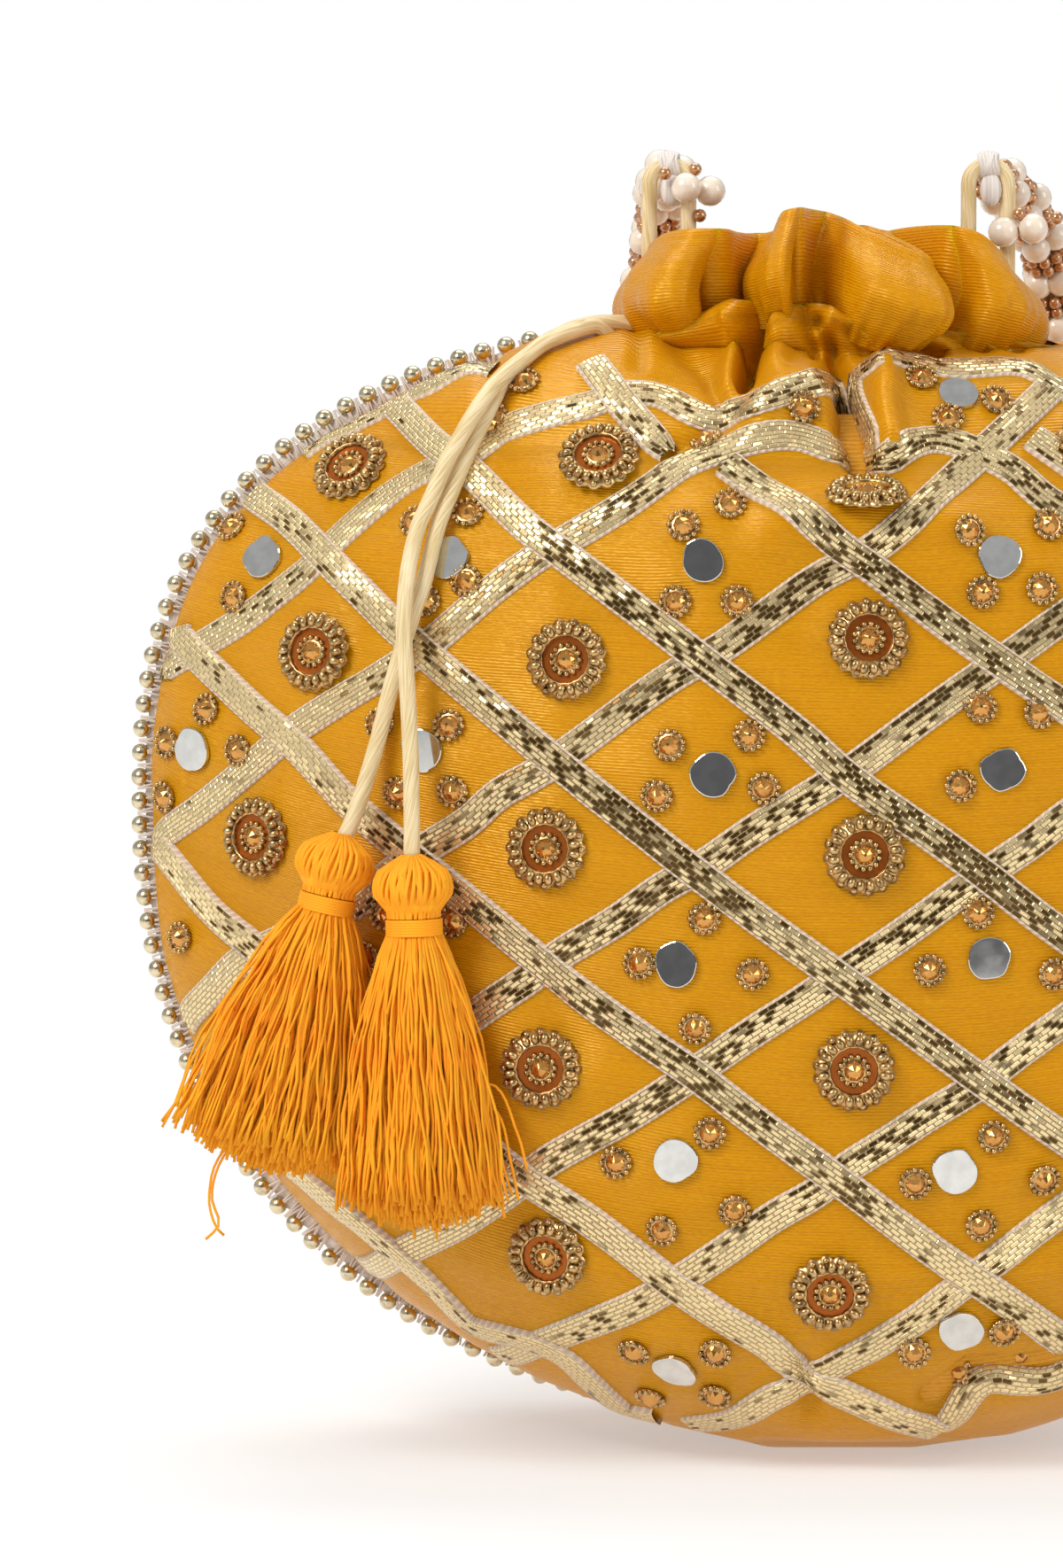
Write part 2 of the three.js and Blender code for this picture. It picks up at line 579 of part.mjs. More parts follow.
function frillGeometry(tunnels) {
  const columns = 4 * FRILL_WAVES;
  const casing = (inset, height) => collarRing(
    0, CASING_HALF_WIDTH - inset, CASING_HALF_DEPTH - inset, height, 0, columns);
  const frillRing = (inset, height, share) => collarRing(
    FRILL_CENTRE_X * share, FRILL_HALF_WIDTH - inset, FRILL_HALF_DEPTH - inset, height,
    FRILL_WAVE_DEPTH * share, columns);
  const fullest = (CASING_TOP + FRILL_TOP) / 2 + 2;
  const outer = [
    casing(0, CASING_BOTTOM),
    casing(0, CASING_TOP - 1),
    frillRing(FRILL_FLARE, CASING_TOP + 3, 0.6),
    frillRing(0, fullest, 1),
    frillRing(1, FRILL_TOP, 1),
  ];
  const inner = [
    casing(CASING_WALL, CASING_BOTTOM),
    casing(CASING_WALL, CASING_TOP),
    frillRing(FRILL_FLARE + FRILL_WALL, CASING_TOP + 4.5, 0.6),
    frillRing(FRILL_WALL, fullest, 1),
    frillRing(1 + FRILL_WALL, FRILL_TOP, 1),
  ];
  let frill = toSolid(shellGeometry(outer, inner, true));
  for (const tunnel of tunnels) {
    frill = frill.subtract(tunnel);
  }
  return toGeometry(frill);
}

// Drawstring loop in the casing: one turn that sinks by one cord and a bit
function loopCurve(fromShare, toShare) {
  const points = [];
  const count = 28;
  for (let i = 0; i <= count; i += 1) {
    const share = THREE.MathUtils.lerp(fromShare, toShare, i / count);
    const turn = THREE.MathUtils.lerp(LOOP_START_TURN, LOOP_END_TURN, share);
    const angle = radians(180 + EXIT_ANGLE + turn);
    points.push(new THREE.Vector3(
      LOOP_HALF_WIDTH * Math.cos(angle),
      LOOP_HALF_DEPTH * Math.sin(angle),
      THREE.MathUtils.lerp(LOOP_UPPER_HEIGHT, LOOP_LOWER_HEIGHT, share),
    ));
  }
  return new THREE.CatmullRomCurve3(points);
}

function exitCurve(height) {
  const angle = radians(180 + EXIT_ANGLE);
  const inside = new THREE.Vector3(
    (LOOP_HALF_WIDTH - 1) * Math.cos(angle), (LOOP_HALF_DEPTH - 1) * Math.sin(angle), height);
  return new THREE.LineCurve3(inside, inside.clone().add(new THREE.Vector3(-14, -4, 0)));
}

const tunnelDiameter = CORD_DIAMETER + 2 * CORD_CLEARANCE;
const loopTunnels = [[-0.02, 0.5], [0.48, 1.02]].map(([from, to]) => (
  toSolid(cordGeometry(loopCurve(from, to), tunnelDiameter, 16))));
const exitTunnels = [LOOP_UPPER_HEIGHT, LOOP_LOWER_HEIGHT].map((height) => (
  toSolid(cordGeometry(exitCurve(height), tunnelDiameter, 2))));

function strandGeometry(points) {
  return cordGeometry(new THREE.CatmullRomCurve3(vectors(points)), CORD_DIAMETER, 26);
}

function tasselGeometry({ top, lean, length, skirtRadius }) {
  const binding = TASSEL_HEAD_LENGTH + TASSEL_BINDING_WIDTH;
  const profile = [
    [0, -length], [skirtRadius, -length], [skirtRadius * 0.75, -length / 2], [TASSEL_BINDING_RADIUS, -binding],
    [TASSEL_BINDING_RADIUS, -TASSEL_HEAD_LENGTH], [TASSEL_HEAD_RADIUS, -TASSEL_HEAD_LENGTH * 0.45],
    [TASSEL_HEAD_RADIUS / 2, -0.6], [0, 0],
  ].map(([radius, height]) => new THREE.Vector2(radius, height));
  const geometry = new THREE.LatheGeometry(profile, 12);
  const { position } = geometry.attributes;
  for (let i = 0; i < position.count; i += 1) {
    const share = -position.getY(i) / length;
    position.setZ(i, position.getZ(i)
      * THREE.MathUtils.lerp(TASSEL_HEAD_FLATNESS, TASSEL_SKIRT_FLATNESS, share));
  }
  return geometry.rotateX(Math.PI / 2).rotateY(radians(lean)).translate(...top);
}

// Flower: a ring round a sunk floor with a pointed stone in the middle
function flowerGeometry() {
  const profile = [
    [0, 0], [FLOWER_RADIUS, 0], [FLOWER_RADIUS - 0.4, FLOWER_HEIGHT], [RECESS_RADIUS + 0.3, FLOWER_HEIGHT],
    [RECESS_RADIUS, RECESS_FLOOR], [STONE_RADIUS, RECESS_FLOOR], [0, FLOWER_HEIGHT],
  ].map(([radius, height]) => new THREE.Vector2(radius, height));
  return new THREE.LatheGeometry(profile, 9);
}

// Mirror: a hand-cut disc with seven uneven sides
function mirrorGeometry(seed) {
  const corners = [];
  for (let corner = 0; corner < 7; corner += 1) {
    const angle = 2 * Math.PI * corner / 7;
    const radius = MIRROR_RADIUS * (0.94 + 0.06 * Math.cos(5 * corner + 3 * seed));
    corners.push(new THREE.Vector2(radius * Math.cos(angle), radius * Math.sin(angle)));
  }
  const geometry = new THREE.ExtrudeGeometry(new THREE.Shape(corners), {
    depth: MIRROR_THICKNESS, bevelEnabled: false,
  });
  return geometry.rotateX(-Math.PI / 2);
}

// Handle loops, eyelets and bead rope
function archX(side) {
  return FRILL_CENTRE_X + side * (ARCH_OFFSET + ARCH_LEAN);
}

function archGeometry(side) {
  const half = ARCH_SPAN / 2;
  const springing = ARCH_AXIS_HEIGHT - half;
  const top = archX(side);
  const foot = top - side * ARCH_LEAN;
  const points = [new THREE.Vector3(foot + side * half, ARCH_Y, ARCH_OUTER_FOOT)];
  for (let step = 0; step <= 8; step += 1) {
    const angle = Math.PI * step / 8;
    points.push(new THREE.Vector3(
      top + side * half * Math.cos(angle), ARCH_Y, springing + half * Math.sin(angle)));
  }
  points.push(new THREE.Vector3(foot - side * half, ARCH_Y, ARCH_INNER_FOOT));
  return cordGeometry(new THREE.CatmullRomCurve3(points, false, 'catmullrom', 0.5), LOOP_CORD_DIAMETER, 15);
}

function eyeletGeometry(side) {
  const geometry = new THREE.TorusGeometry(EYELET_RADIUS, EYELET_CORD_DIAMETER / 2, 6, 12);
  geometry.rotateY(Math.PI / 2);
  geometry.translate(archX(side), ARCH_Y, ARCH_AXIS_HEIGHT);
  return geometry;
}

function ropeGeometry() {
  const hung = ROPE_DROPS.map(([x, y, drop]) => [x, y, ARCH_AXIS_HEIGHT - drop]);
  const curve = new THREE.CatmullRomCurve3(vectors(hung));
  const rings = Math.round(curve.getLength() / ROPE_RING_PITCH);
  const steps = 2 * rings;
  const frames = curve.computeFrenetFrames(steps, false);
  const positions = [];
  const index = [];
  for (let step = 0; step <= steps; step += 1) {
    const centre = curve.getPointAt(step / steps);
    const radius = (step % 2 === 1 ? ROPE_DIAMETER : ROPE_WAIST_DIAMETER) / 2;
    for (let side = 0; side < ROPE_SIDES; side += 1) {
      const angle = 2 * Math.PI * side / ROPE_SIDES;
      const spot = centre.clone()
        .addScaledVector(frames.normals[step], radius * Math.cos(angle))
        .addScaledVector(frames.binormals[step], radius * Math.sin(angle));
      positions.push(spot.x, spot.y, spot.z);
    }
  }
  for (let step = 0; step < steps; step += 1) {
    for (let side = 0; side < ROPE_SIDES; side += 1) {
      const next = (side + 1) % ROPE_SIDES;
      const here = step * ROPE_SIDES;
      const there = here + ROPE_SIDES;
      index.push(here + side, here + next, there + next, here + side, there + next, there + side);
    }
  }
  for (let side = 1; side < ROPE_SIDES - 1; side += 1) {
    const end = steps * ROPE_SIDES;
    index.push(0, side + 1, side, end, end + side, end + side + 1);
  }
  return facingOut(indexed(positions, index));
}

// Finishes
const finish = (color, roughness, metalness) => new THREE.MeshStandardMaterial({ color, roughness, metalness });
const SATIN = () => finish(0xf2a516, 0.45, 0);
const LINING = () => finish(0xe9a530, 0.8, 0);
const RIBBON = () => finish(0xc9a86a, 0.35, 0.6);
const GOLD_BALLS = () => finish(0xc9b27c, 0.3, 0.9);
const CREAM_CORD = () => finish(0xeadcae, 0.5, 0);
const TASSEL = () => finish(0xff9a1c, 0.8, 0);
const FLOWER = () => finish(0xb98a3e, 0.35, 0.8);
const MIRROR = () => finish(0xc8ccd0, 0.08, 1);
const PEARL = () => finish(0xefe3d2, 0.3, 0);
const THREAD = () => finish(0xf3ece0, 0.7, 0);

const bag = new THREE.Group();

function place(name, geometry, material) {
  const mesh = new THREE.Mesh(geometry, material);
  mesh.name = name;
  bag.add(mesh);
  return mesh;
}

function placeOnFront(name, geometry, material, pixel) {
  const { point, normal } = onFront(pixel);
  const mesh = place(name, geometry, material);
  mesh.quaternion.setFromUnitVectors(new THREE.Vector3(0, 1, 0), normal);
  mesh.position.copy(point).addScaledVector(normal, CLEARANCE + TRIM_RISE);
  return mesh;
}

const numbered = (name, i) => `${name}_${String(i + 1).padStart(2, '0')}`;

const trimRooms = [
  ...FLOWERS_PX.map((pixel) => trimRoom(FLOWER_RADIUS, pixel)),
  ...MIRRORS_PX.map((pixel) => trimRoom(MIRROR_RADIUS, pixel)),
  ...STONES_PX.map((pixel) => trimRoom(STONE_RADIUS, pixel)),
];

place('front_panel', frontPanelGeometry(exitTunnels), SATIN());
place('back_panel', panelGeometry(1), SATIN());
place('lining', liningGeometry(), LINING());
place('frill', frillGeometry([...loopTunnels, ...exitTunnels]), SATIN());
place('ribbon_lattice', latticeGeometry([grownPanel(), ...trimRooms]), RIBBON());
place('edge_lace', laceGeometry(), GOLD_BALLS());
FLOWERS_PX.forEach((pixel, i) => placeOnFront(numbered('flower', i), flowerGeometry(), FLOWER(), pixel));
MIRRORS_PX.forEach((pixel, i) => placeOnFront(numbered('mirror', i), mirrorGeometry(i), MIRROR(), pixel));

place('drawstring_loop', cordGeometry(loopCurve(0, 1), CORD_DIAMETER, 32), CREAM_CORD());
place('drawstring_left', strandGeometry(STRAND_LEFT_POINTS), CREAM_CORD());
place('drawstring_right', strandGeometry(STRAND_RIGHT_POINTS), CREAM_CORD());
place('tassel_left', tasselGeometry(TASSEL_LEFT), TASSEL());
place('tassel_right', tasselGeometry(TASSEL_RIGHT), TASSEL());

place('handle_loop_left', archGeometry(-1), CREAM_CORD());
place('handle_loop_right', archGeometry(1), CREAM_CORD());
place('handle_eyelet_left', eyeletGeometry(-1), THREAD());
place('handle_eyelet_right', eyeletGeometry(1), THREAD());
place('handle_rope', ropeGeometry(), PEARL());

// The origin is the middle of the foot of everything but the free strands
const FREE = ['drawstring_left', 'drawstring_right', 'tassel_left', 'tassel_right'];
bag.updateMatrixWorld(true);
const reach = new THREE.Box3();
for (const mesh of bag.children) {
  if (!FREE.includes(mesh.name)) {
    reach.expandByObject(mesh, true);
  }
}
const centre = reach.getCenter(new THREE.Vector3());
bag.position.set(-centre.x, -centre.y, 0);

const part = new THREE.Group();
part.add(bag);
part.updateMatrixWorld(true);

export default part;
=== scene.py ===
"""The look of the potli bag: satin pouch, gathered frill, laid ribbon, trim, tassels and bead rope."""
import math
import random

import bpy
import numpy as np
from mathutils import Matrix, Vector, noise
from mathutils.bvhtree import BVHTree

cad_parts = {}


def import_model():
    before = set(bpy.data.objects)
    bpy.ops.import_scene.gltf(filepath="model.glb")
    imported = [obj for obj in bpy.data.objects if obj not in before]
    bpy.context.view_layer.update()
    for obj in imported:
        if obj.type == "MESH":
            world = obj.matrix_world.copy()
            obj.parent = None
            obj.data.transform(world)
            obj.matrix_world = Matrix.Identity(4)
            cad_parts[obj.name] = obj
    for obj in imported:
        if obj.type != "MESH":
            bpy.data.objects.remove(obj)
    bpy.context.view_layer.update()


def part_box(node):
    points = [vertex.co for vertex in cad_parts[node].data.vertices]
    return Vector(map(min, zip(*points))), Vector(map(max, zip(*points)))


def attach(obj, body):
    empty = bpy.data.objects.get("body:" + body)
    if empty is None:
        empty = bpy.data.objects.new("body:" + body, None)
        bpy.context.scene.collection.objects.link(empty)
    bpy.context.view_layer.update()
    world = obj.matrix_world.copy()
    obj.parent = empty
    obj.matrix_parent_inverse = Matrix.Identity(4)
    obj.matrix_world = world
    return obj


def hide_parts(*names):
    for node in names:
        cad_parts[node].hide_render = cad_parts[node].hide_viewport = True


bl_info = {
    "name": "Potli bag",
    "version": (1, 0, 0),
    "blender": (4, 5, 0),
    "location": "View3D > Sidebar > Potli bag",
    "description": "Builds the cloth, trim, cords, tassels and bead rope of a potli bag",
    "category": "Object",
}

# All lengths are in millimetres, measured from the seam plane, with the front towards -Y
SEAM_HALF_WIDTH = 116.0
WIDEST_HEIGHT = 108.0
SEAM_RISE = 79.0
SEAM_BASE_HEIGHT = 6.5
SHOULDER_EXPONENT = 2.6
HIP_EXPONENT = 2.25
HALF_DEPTH = 50.0
FULLEST_HEIGHT = 85.0
CROWN_RISE = 100.8
BELLY_DROP = 88.0
CROWN_EXPONENT = 2.8
BELLY_EXPONENT = 3.2
GROOVE_HALF_WIDTH = 14.0
FOOT_SETTLE = 1.5
BODY_ROUNDNESS = 2.2
BODY_SHARPNESS = 0.75
NECK_ROUNDNESS = 2.0
NECK_SHARPNESS = 0.5
LEVEL_DROOP = 1.5
LATITUDE_BOTTOM = -89.7
LATITUDE_PLEATS = 42.0
LATITUDE_TOP = 77.3
ROW_CROWDING = 1.25
LINING_INSET = 3.4
LINING_TOP = 62.0
SEAM_GAP = 0.7
FOOT_LIFT = 5.0
COLLAR_HALF_WIDTH = 32.8
COLLAR_HALF_DEPTH = 15.6
COLLAR_CENTRE = -1.2
THROAT_HEIGHT = 176.0
HEART = np.array([0.0, 0.0, 95.0])
BALL_REACH = 3.5
BEAD_PITCH = 9.0
GOLDEN_ANGLE = 2.39996
# The radii that the flower and the stone are drawn at, before they are scaled
FLOWER_DRAWN = 6.7
STONE_DRAWN = 2.85

# The picture that the front was laid out in
EYE = Vector((-53.25, -997.0, 181.45))
AIM = Vector((-53.25, 0.0, 111.45))
MIDDLE_PX = (600.0, 885.0)
MM_PER_PX = 0.15
PICTURE_RIGHT_PX = 1200.0
LENS = 90.35
LONG_SIDE = 24.0

RIBBONS_RISING_PX = [
    [(325, 500), (355, 480), (382, 470), (417, 460), (452, 446), (486, 437), (507, 425), (531, 416),
     (556, 422)],
    [(171, 764), (237, 723), (278, 698), (313, 671), (348, 643), (382, 608), (417, 577), (451, 550),
     (483, 532), (541, 505), (573, 484), (625, 467), (673, 456), (695, 446), (743, 446), (781, 466),
     (805, 472), (843, 460), (882, 442), (923, 432), (944, 442), (954, 463), (958, 498), (956, 511)],
    [(168, 970), (186, 942), (221, 917), (256, 889), (296, 855), (334, 823), (382, 792), (434, 761),
     (472, 737), (503, 712), (555, 667), (600, 633), (642, 608), (695, 577), (736, 550), (771, 525),
     (816, 508), (850, 496), (885, 491), (920, 498), (947, 515), (970, 530)],
    [(985, 512), (987, 494), (975, 473), (966, 449), (965, 428), (982, 411), (1006, 402),
     (1041, 408), (1075, 416), (1145, 413), (1169, 421), (1197, 439), (1245, 462)],
    [(970, 530), (999, 522), (1020, 505), (1044, 496), (1075, 499), (1107, 512), (1145, 532),
     (1172, 557), (1197, 574), (1260, 612), (1400, 705), (1560, 812)],
    [(205, 1155), (246, 1111), (281, 1079), (397, 1023), (440, 987), (478, 959), (528, 928),
     (563, 896), (609, 871), (660, 835), (747, 771), (816, 730), (868, 692), (923, 653), (992, 615),
     (1058, 557), (1093, 525), (1127, 494), (1186, 439)],
    [(290, 1320), (421, 1226), (556, 1132), (598, 1104), (634, 1076), (695, 1040), (748, 1002),
     (794, 977), (850, 938), (907, 903), (960, 870), (1041, 810), (1093, 773), (1145, 737),
     (1200, 697), (1330, 606), (1440, 530)],
    [(392, 1450), (457, 1412), (516, 1383), (581, 1340), (616, 1312), (660, 1287), (706, 1262),
     (766, 1224), (801, 1199), (850, 1165), (907, 1129), (949, 1100), (1013, 1058), (1083, 1007),
     (1129, 975), (1171, 947), (1199, 924), (1340, 826), (1480, 730), (1600, 650)],
    [(560, 1535), (610, 1515), (663, 1495), (722, 1471), (781, 1436), (828, 1405), (872, 1374),
     (923, 1345), (953, 1320), (999, 1291), (1048, 1259), (1101, 1227), (1136, 1199), (1199, 1153),
     (1360, 1040), (1520, 930), (1680, 820)],
    [(780, 1607), (828, 1601), (870, 1577), (917, 1554), (976, 1524), (1035, 1489), (1082, 1453),
     (1123, 1424), (1200, 1365), (1360, 1250), (1520, 1140), (1700, 1010)],
    [(1058, 1612), (1076, 1601), (1094, 1571), (1117, 1554), (1153, 1560), (1200, 1553),
     (1300, 1490), (1440, 1395), (1600, 1280)],
]
RIBBONS_FALLING_PX = [
    [(667, 411), (681, 428), (705, 460), (729, 487), (755, 515)],
    [(820, 525), (854, 550), (902, 577), (947, 615), (992, 647), (1041, 685), (1117, 740),
     (1197, 795), (1340, 893), (1500, 1005), (1690, 1130)],
    [(450, 460), (490, 501), (535, 536), (590, 591), (659, 643), (750, 712), (795, 747),
     (899, 826), (963, 882), (1083, 966), (1199, 1055), (1340, 1150), (1500, 1262), (1620, 1345)],
    [(282, 557), (327, 588), (389, 650), (472, 730), (583, 823), (673, 896), (776, 977),
     (850, 1033), (949, 1104), (1104, 1217), (1199, 1284), (1340, 1380), (1470, 1470)],
    [(190, 705), (227, 743), (289, 802), (334, 840), (394, 905), (457, 959), (514, 1005),
     (591, 1069), (660, 1125), (734, 1178), (776, 1206), (857, 1268), (953, 1337), (1023, 1390),
     (1070, 1424), (1117, 1455), (1200, 1512), (1290, 1566)],
    [(183, 956), (239, 1026), (288, 1068), (380, 1148), (470, 1228), (569, 1312), (610, 1341),
     (657, 1371), (705, 1406), (758, 1447), (811, 1483), (870, 1518), (917, 1554), (964, 1577),
     (1017, 1601), (1058, 1612)],
    [(292, 1282), (328, 1314), (366, 1347), (404, 1377), (439, 1406), (475, 1436), (510, 1471),
     (534, 1495), (575, 1506), (616, 1518), (646, 1536), (669, 1559), (705, 1589), (740, 1604)],
    [(1165, 495), (1230, 540), (1330, 608), (1480, 712), (1640, 822)],
    [(1245, 470), (1330, 500), (1440, 575), (1560, 660)],
]
FLOWERS_PX = [
    (396, 528), (355, 736), (640, 745), (676, 517), (978, 560), (980, 722), (290, 945), (617, 958),
    (611, 1206), (976, 965), (964, 1208), (618, 1418), (937, 1459), (1514, 528), (1555, 736),
    (1270, 745), (1234, 510), (1620, 945), (1293, 958), (1299, 1206), (1262, 1425),
]
# A flower that lies on the shelf of a fold looks up by this many degrees
FLOWER_TILTS = {(978, 560): 20.0, (676, 517): 10.0}
MIRRORS_PX = [
    (297, 630), (218, 846), (507, 629), (476, 846), (794, 634), (805, 875), (1082, 446),
    (1127, 628), (1131, 869), (764, 1088), (1116, 1080), (762, 1308), (1078, 1321), (762, 1546),
    (1085, 1500), (460, 1075), (1613, 630), (1692, 846), (1403, 629), (1434, 846), (1450, 1075),
]
STONES_PX = [
    (263, 596), (265, 674), (234, 801), (190, 838), (270, 847), (187, 899), (469, 589), (528, 580),
    (527, 656), (481, 678), (430, 817), (507, 819), (450, 895), (511, 893), (559, 473), (772, 594),
    (824, 570), (763, 679), (832, 679), (756, 842), (845, 831), (742, 898), (862, 889), (908, 460),
    (1040, 428), (1070, 473), (1124, 453), (1093, 599), (1183, 593), (1109, 669), (1175, 665),
    (1107, 799), (1172, 805), (1083, 887), (798, 499), (205, 1058), (436, 1032), (512, 1040),
    (413, 1081), (795, 1037), (722, 1087), (849, 1099), (785, 1160), (801, 1279), (696, 1312),
    (829, 1366), (748, 1388), (1104, 1031), (1049, 1095), (1189, 1099), (1121, 1283), (1033, 1335),
    (1178, 1331), (1107, 1383), (716, 1524), (808, 1526), (735, 1575), (808, 1574), (1032, 1526),
    (1133, 1502), (1647, 596), (1645, 674), (1676, 801), (1640, 847), (1441, 589), (1382, 580),
    (1383, 656), (1429, 678), (1480, 817), (1403, 819), (1460, 895), (1399, 893), (1351, 473),
    (1150, 1528), (1082, 1546), (592, 432), (553, 480),
]

# Gathers and folds: a line in the picture, its half width in pixels, and how deep it sinks in mm
FOLDS_PX = [
    ([(856, 344), (850, 378), (844, 408), (838, 432)], 10, 7.5),
    ([(946, 432), (957, 455), (964, 485), (972, 514)], 17, 8.5),
    ([(922, 362), (936, 388), (948, 416), (957, 440)], 8, 4.6),
    ([(906, 346), (911, 372), (920, 400)], 6, 2.6),
    ([(960, 372), (978, 394), (994, 402)], 7, 2.4),
    ([(1012, 362), (1032, 386), (1056, 402)], 8, 3.4),
    ([(1064, 370), (1085, 386), (1110, 394)], 7, 2.4),
    ([(1110, 376), (1128, 388), (1150, 396)], 6, 1.6),
    ([(756, 508), (800, 486), (842, 462)], 10, 1.8),
    ([(730, 384), (765, 400), (798, 424), (812, 448)], 12, 1.9),
    ([(716, 384), (724, 402), (722, 424)], 9, 1.6),
    ([(556, 420), (566, 452), (560, 492)], 14, 1.8),
    ([(915, 1618), (910, 1592), (902, 1566)], 15, 2.6),
    ([(1052, 1612), (1078, 1592), (1098, 1572), (1140, 1573), (1200, 1566), (1280, 1540)], 15, 4.0),
    ([(420, 660), (405, 700), (398, 745)], 26, 1.0),
    ([(640, 1180), (620, 1130), (612, 1085)], 30, 1.2),
    ([(880, 560), (905, 640), (900, 720)], 34, 0.9),
]
# Fuller places: a line in the picture, its half width in pixels, and how far it swells in mm
SWELLS_PX = [
    ([(500, 430), (560, 425), (640, 418), (700, 412)], 60, 3.4),
    ([(740, 392), (790, 370), (832, 352)], 20, 2.6),
    ([(838, 356), (835, 395), (824, 436)], 11, 3.4),
    ([(878, 350), (884, 385), (874, 418)], 14, 2.6),
    ([(926, 376), (940, 352), (962, 366), (990, 398)], 9, 3.0),
    ([(862, 466), (890, 446), (936, 446)], 26, 4.2),
    ([(1000, 424), (996, 462), (1004, 500)], 20, 4.4),
    ([(1050, 412), (1110, 420), (1160, 424)], 26, 1.6),
    ([(880, 596), (978, 590), (1070, 592)], 34, 3.0),
    ([(640, 560), (760, 590), (850, 600)], 70, 1.2),
    ([(560, 470), (520, 520), (500, 560)], 30, 1.4),
]
# Height of the neck cloth over the gathered line, from left to right
NECK_LINE = [
    (-36, 184.6), (-31, 186.2), (-24.5, 190), (-18.7, 193.2), (-15.2, 192.6), (-13.4, 189),
    (-11, 192.2), (-6, 192.4), (-3.6, 192.0), (-1.5, 190.5), (2.5, 190.8), (5.5, 186.8), (9, 189.4),
    (14, 188.2), (20, 187.6), (27, 186.4), (34, 184.6),
]
# Frill: the hem point (X, Y, Z) and the gathered point under it (X, Z), round from the left side
FRILL_STATIONS = [
    (-36.4, 3, 201.4, -33.4, 187), (-36, -5, 203, -32.4, 187.4), (-33.4, -13, 204.2, -30.4, 187.8),
    (-29.4, -18.8, 204.6, -27.4, 188), (-24.6, -17.4, 204.6, -24.8, 188.6), (-22.6, -10, 204.2, -22.8, 189.6),
    (-19.4, -3.6, 204, -19.8, 190.4), (-15.8, -6.8, 204.6, -17, 191), (-14.4, -15.4, 206.2, -14.6, 191.2),
    (-13.4, -22.4, 207.4, -12, 191.4), (-10.6, -23.4, 208, -9.8, 191.6), (-8.8, -15, 208, -8, 191.6),
    (-5.6, -7.6, 207.6, -6, 191.4), (-2.6, -11.4, 207, -4.6, 190.8), (-1.2, -20, 206.2, -3, 190),
    (2.4, -24, 204.4, -1, 188.6), (7.6, -25.4, 202.2, 1.4, 187.4), (12, -25.4, 200.6, 3.8, 186.6),
    (14.6, -21.6, 199.8, 5.8, 186.2), (13.2, -14.4, 201.6, 7.2, 186.8), (10, -7.4, 203.8, 8.6, 187.6),
    (11, -4.4, 204.6, 10.6, 188), (15, -10, 205.2, 13.8, 188), (19.8, -16.4, 205.1, 17.6, 187.4),
    (24.6, -16, 203.6, 22, 186.6), (28.2, -10.4, 200.6, 26.6, 186), (30.8, -2.5, 197, 30.6, 185.6),
]
FRILL_BACK_STATIONS = [
    (31, 6, 197.4, 30.8, 185.6), (26.6, 14, 201.4, 26.4, 186), (21, 19, 203.8, 21.4, 186.4),
    (14.2, 12.6, 204.2, 16, 187), (8.2, 19.4, 205.2, 10.4, 187), (4.6, 21, 206, 5.6, 187.2),
    (0.6, 14, 205.4, 0.6, 187.4), (-6.2, 20.6, 205, -5, 187.4), (-13, 14.2, 204.6, -11.4, 187.2),
    (-19.2, 20.6, 204.6, -17.4, 187), (-26, 14.2, 204, -23.6, 187), (-31.6, 17.4, 203.6, -28.8, 187),
    (-35.2, 10.4, 201.4, -33, 187),
]
STRAND_LEFT = [
    (-34.4, -5.8, 185.7), (-39.5, -7.6, 186.3), (-44.3, -9.9, 186), (-47.3, -11.9, 185),
    (-50.3, -14.3, 183.5), (-53.2, -16.6, 181.6), (-56.2, -18.9, 179.7), (-58.4, -20.8, 177.7),
    (-59.9, -22.4, 175.2), (-61.3, -24, 172.5), (-62.6, -25.7, 169.9), (-64.1, -27.8, 167),
    (-66.3, -30.4, 161.6), (-68.6, -32.9, 155.7), (-70.9, -35.2, 146.4), (-72.8, -35.9, 141),
    (-76, -36.4, 130.4), (-78.3, -37.2, 121.2), (-81, -38.9, 112.1), (-83.2, -40.2, 106.3),
]
STRAND_RIGHT = [
    (-34.4, -5.8, 188.9), (-39.5, -7.4, 189.3), (-44.3, -9.4, 188.9), (-47.3, -12, 187.8),
    (-50.3, -14.8, 186.3), (-53.2, -17.5, 184.3), (-56.2, -20.2, 182), (-58.4, -22.6, 180),
    (-60.3, -24.6, 177.8), (-62, -26.4, 175.3), (-63.8, -28, 172.4), (-65.4, -29.3, 169.5),
    (-67.1, -30.6, 166.6), (-69.5, -32.6, 160.8), (-71.8, -34.8, 155.7), (-73.2, -37.2, 149.4),
    (-73.8, -39.6, 143.7), (-73.9, -41, 137.6), (-73.4, -41.8, 130.7), (-72.8, -44, 119.3),
    (-72.6, -46, 109.5), (-72.6, -46.7, 103.4),
]
TASSELS = {
    "tassel_left": {
        "top": (-84.2, -40.3, 105.6), "lean": 12.5, "length": 54.0, "skirt": 15.2, "wild": 1.3,
        "stray": [
            [(-103, -38, 54), (-105.6, -38, 47), (-104.4, -38, 42), (-106.6, -38, 39.4)],
            [(-103.6, -38, 54), (-106, -38, 47), (-105.2, -38, 42), (-103.6, -38, 40)],
        ],
    },
    "tassel_right": {
        "top": (-72.6, -46.8, 102.7), "lean": -2.0, "length": 58.0, "skirt": 12.2, "wild": 1.0,
        "stray": [
            [(-60, -46, 66), (-55.6, -46, 58), (-54, -46, 52)],
            [(-59.6, -46, 62), (-56.6, -46, 53), (-55.4, -46, 47)],
            [(-60, -46, 60), (-58.8, -46, 50), (-57.6, -46, 44)],
        ],
    },
}
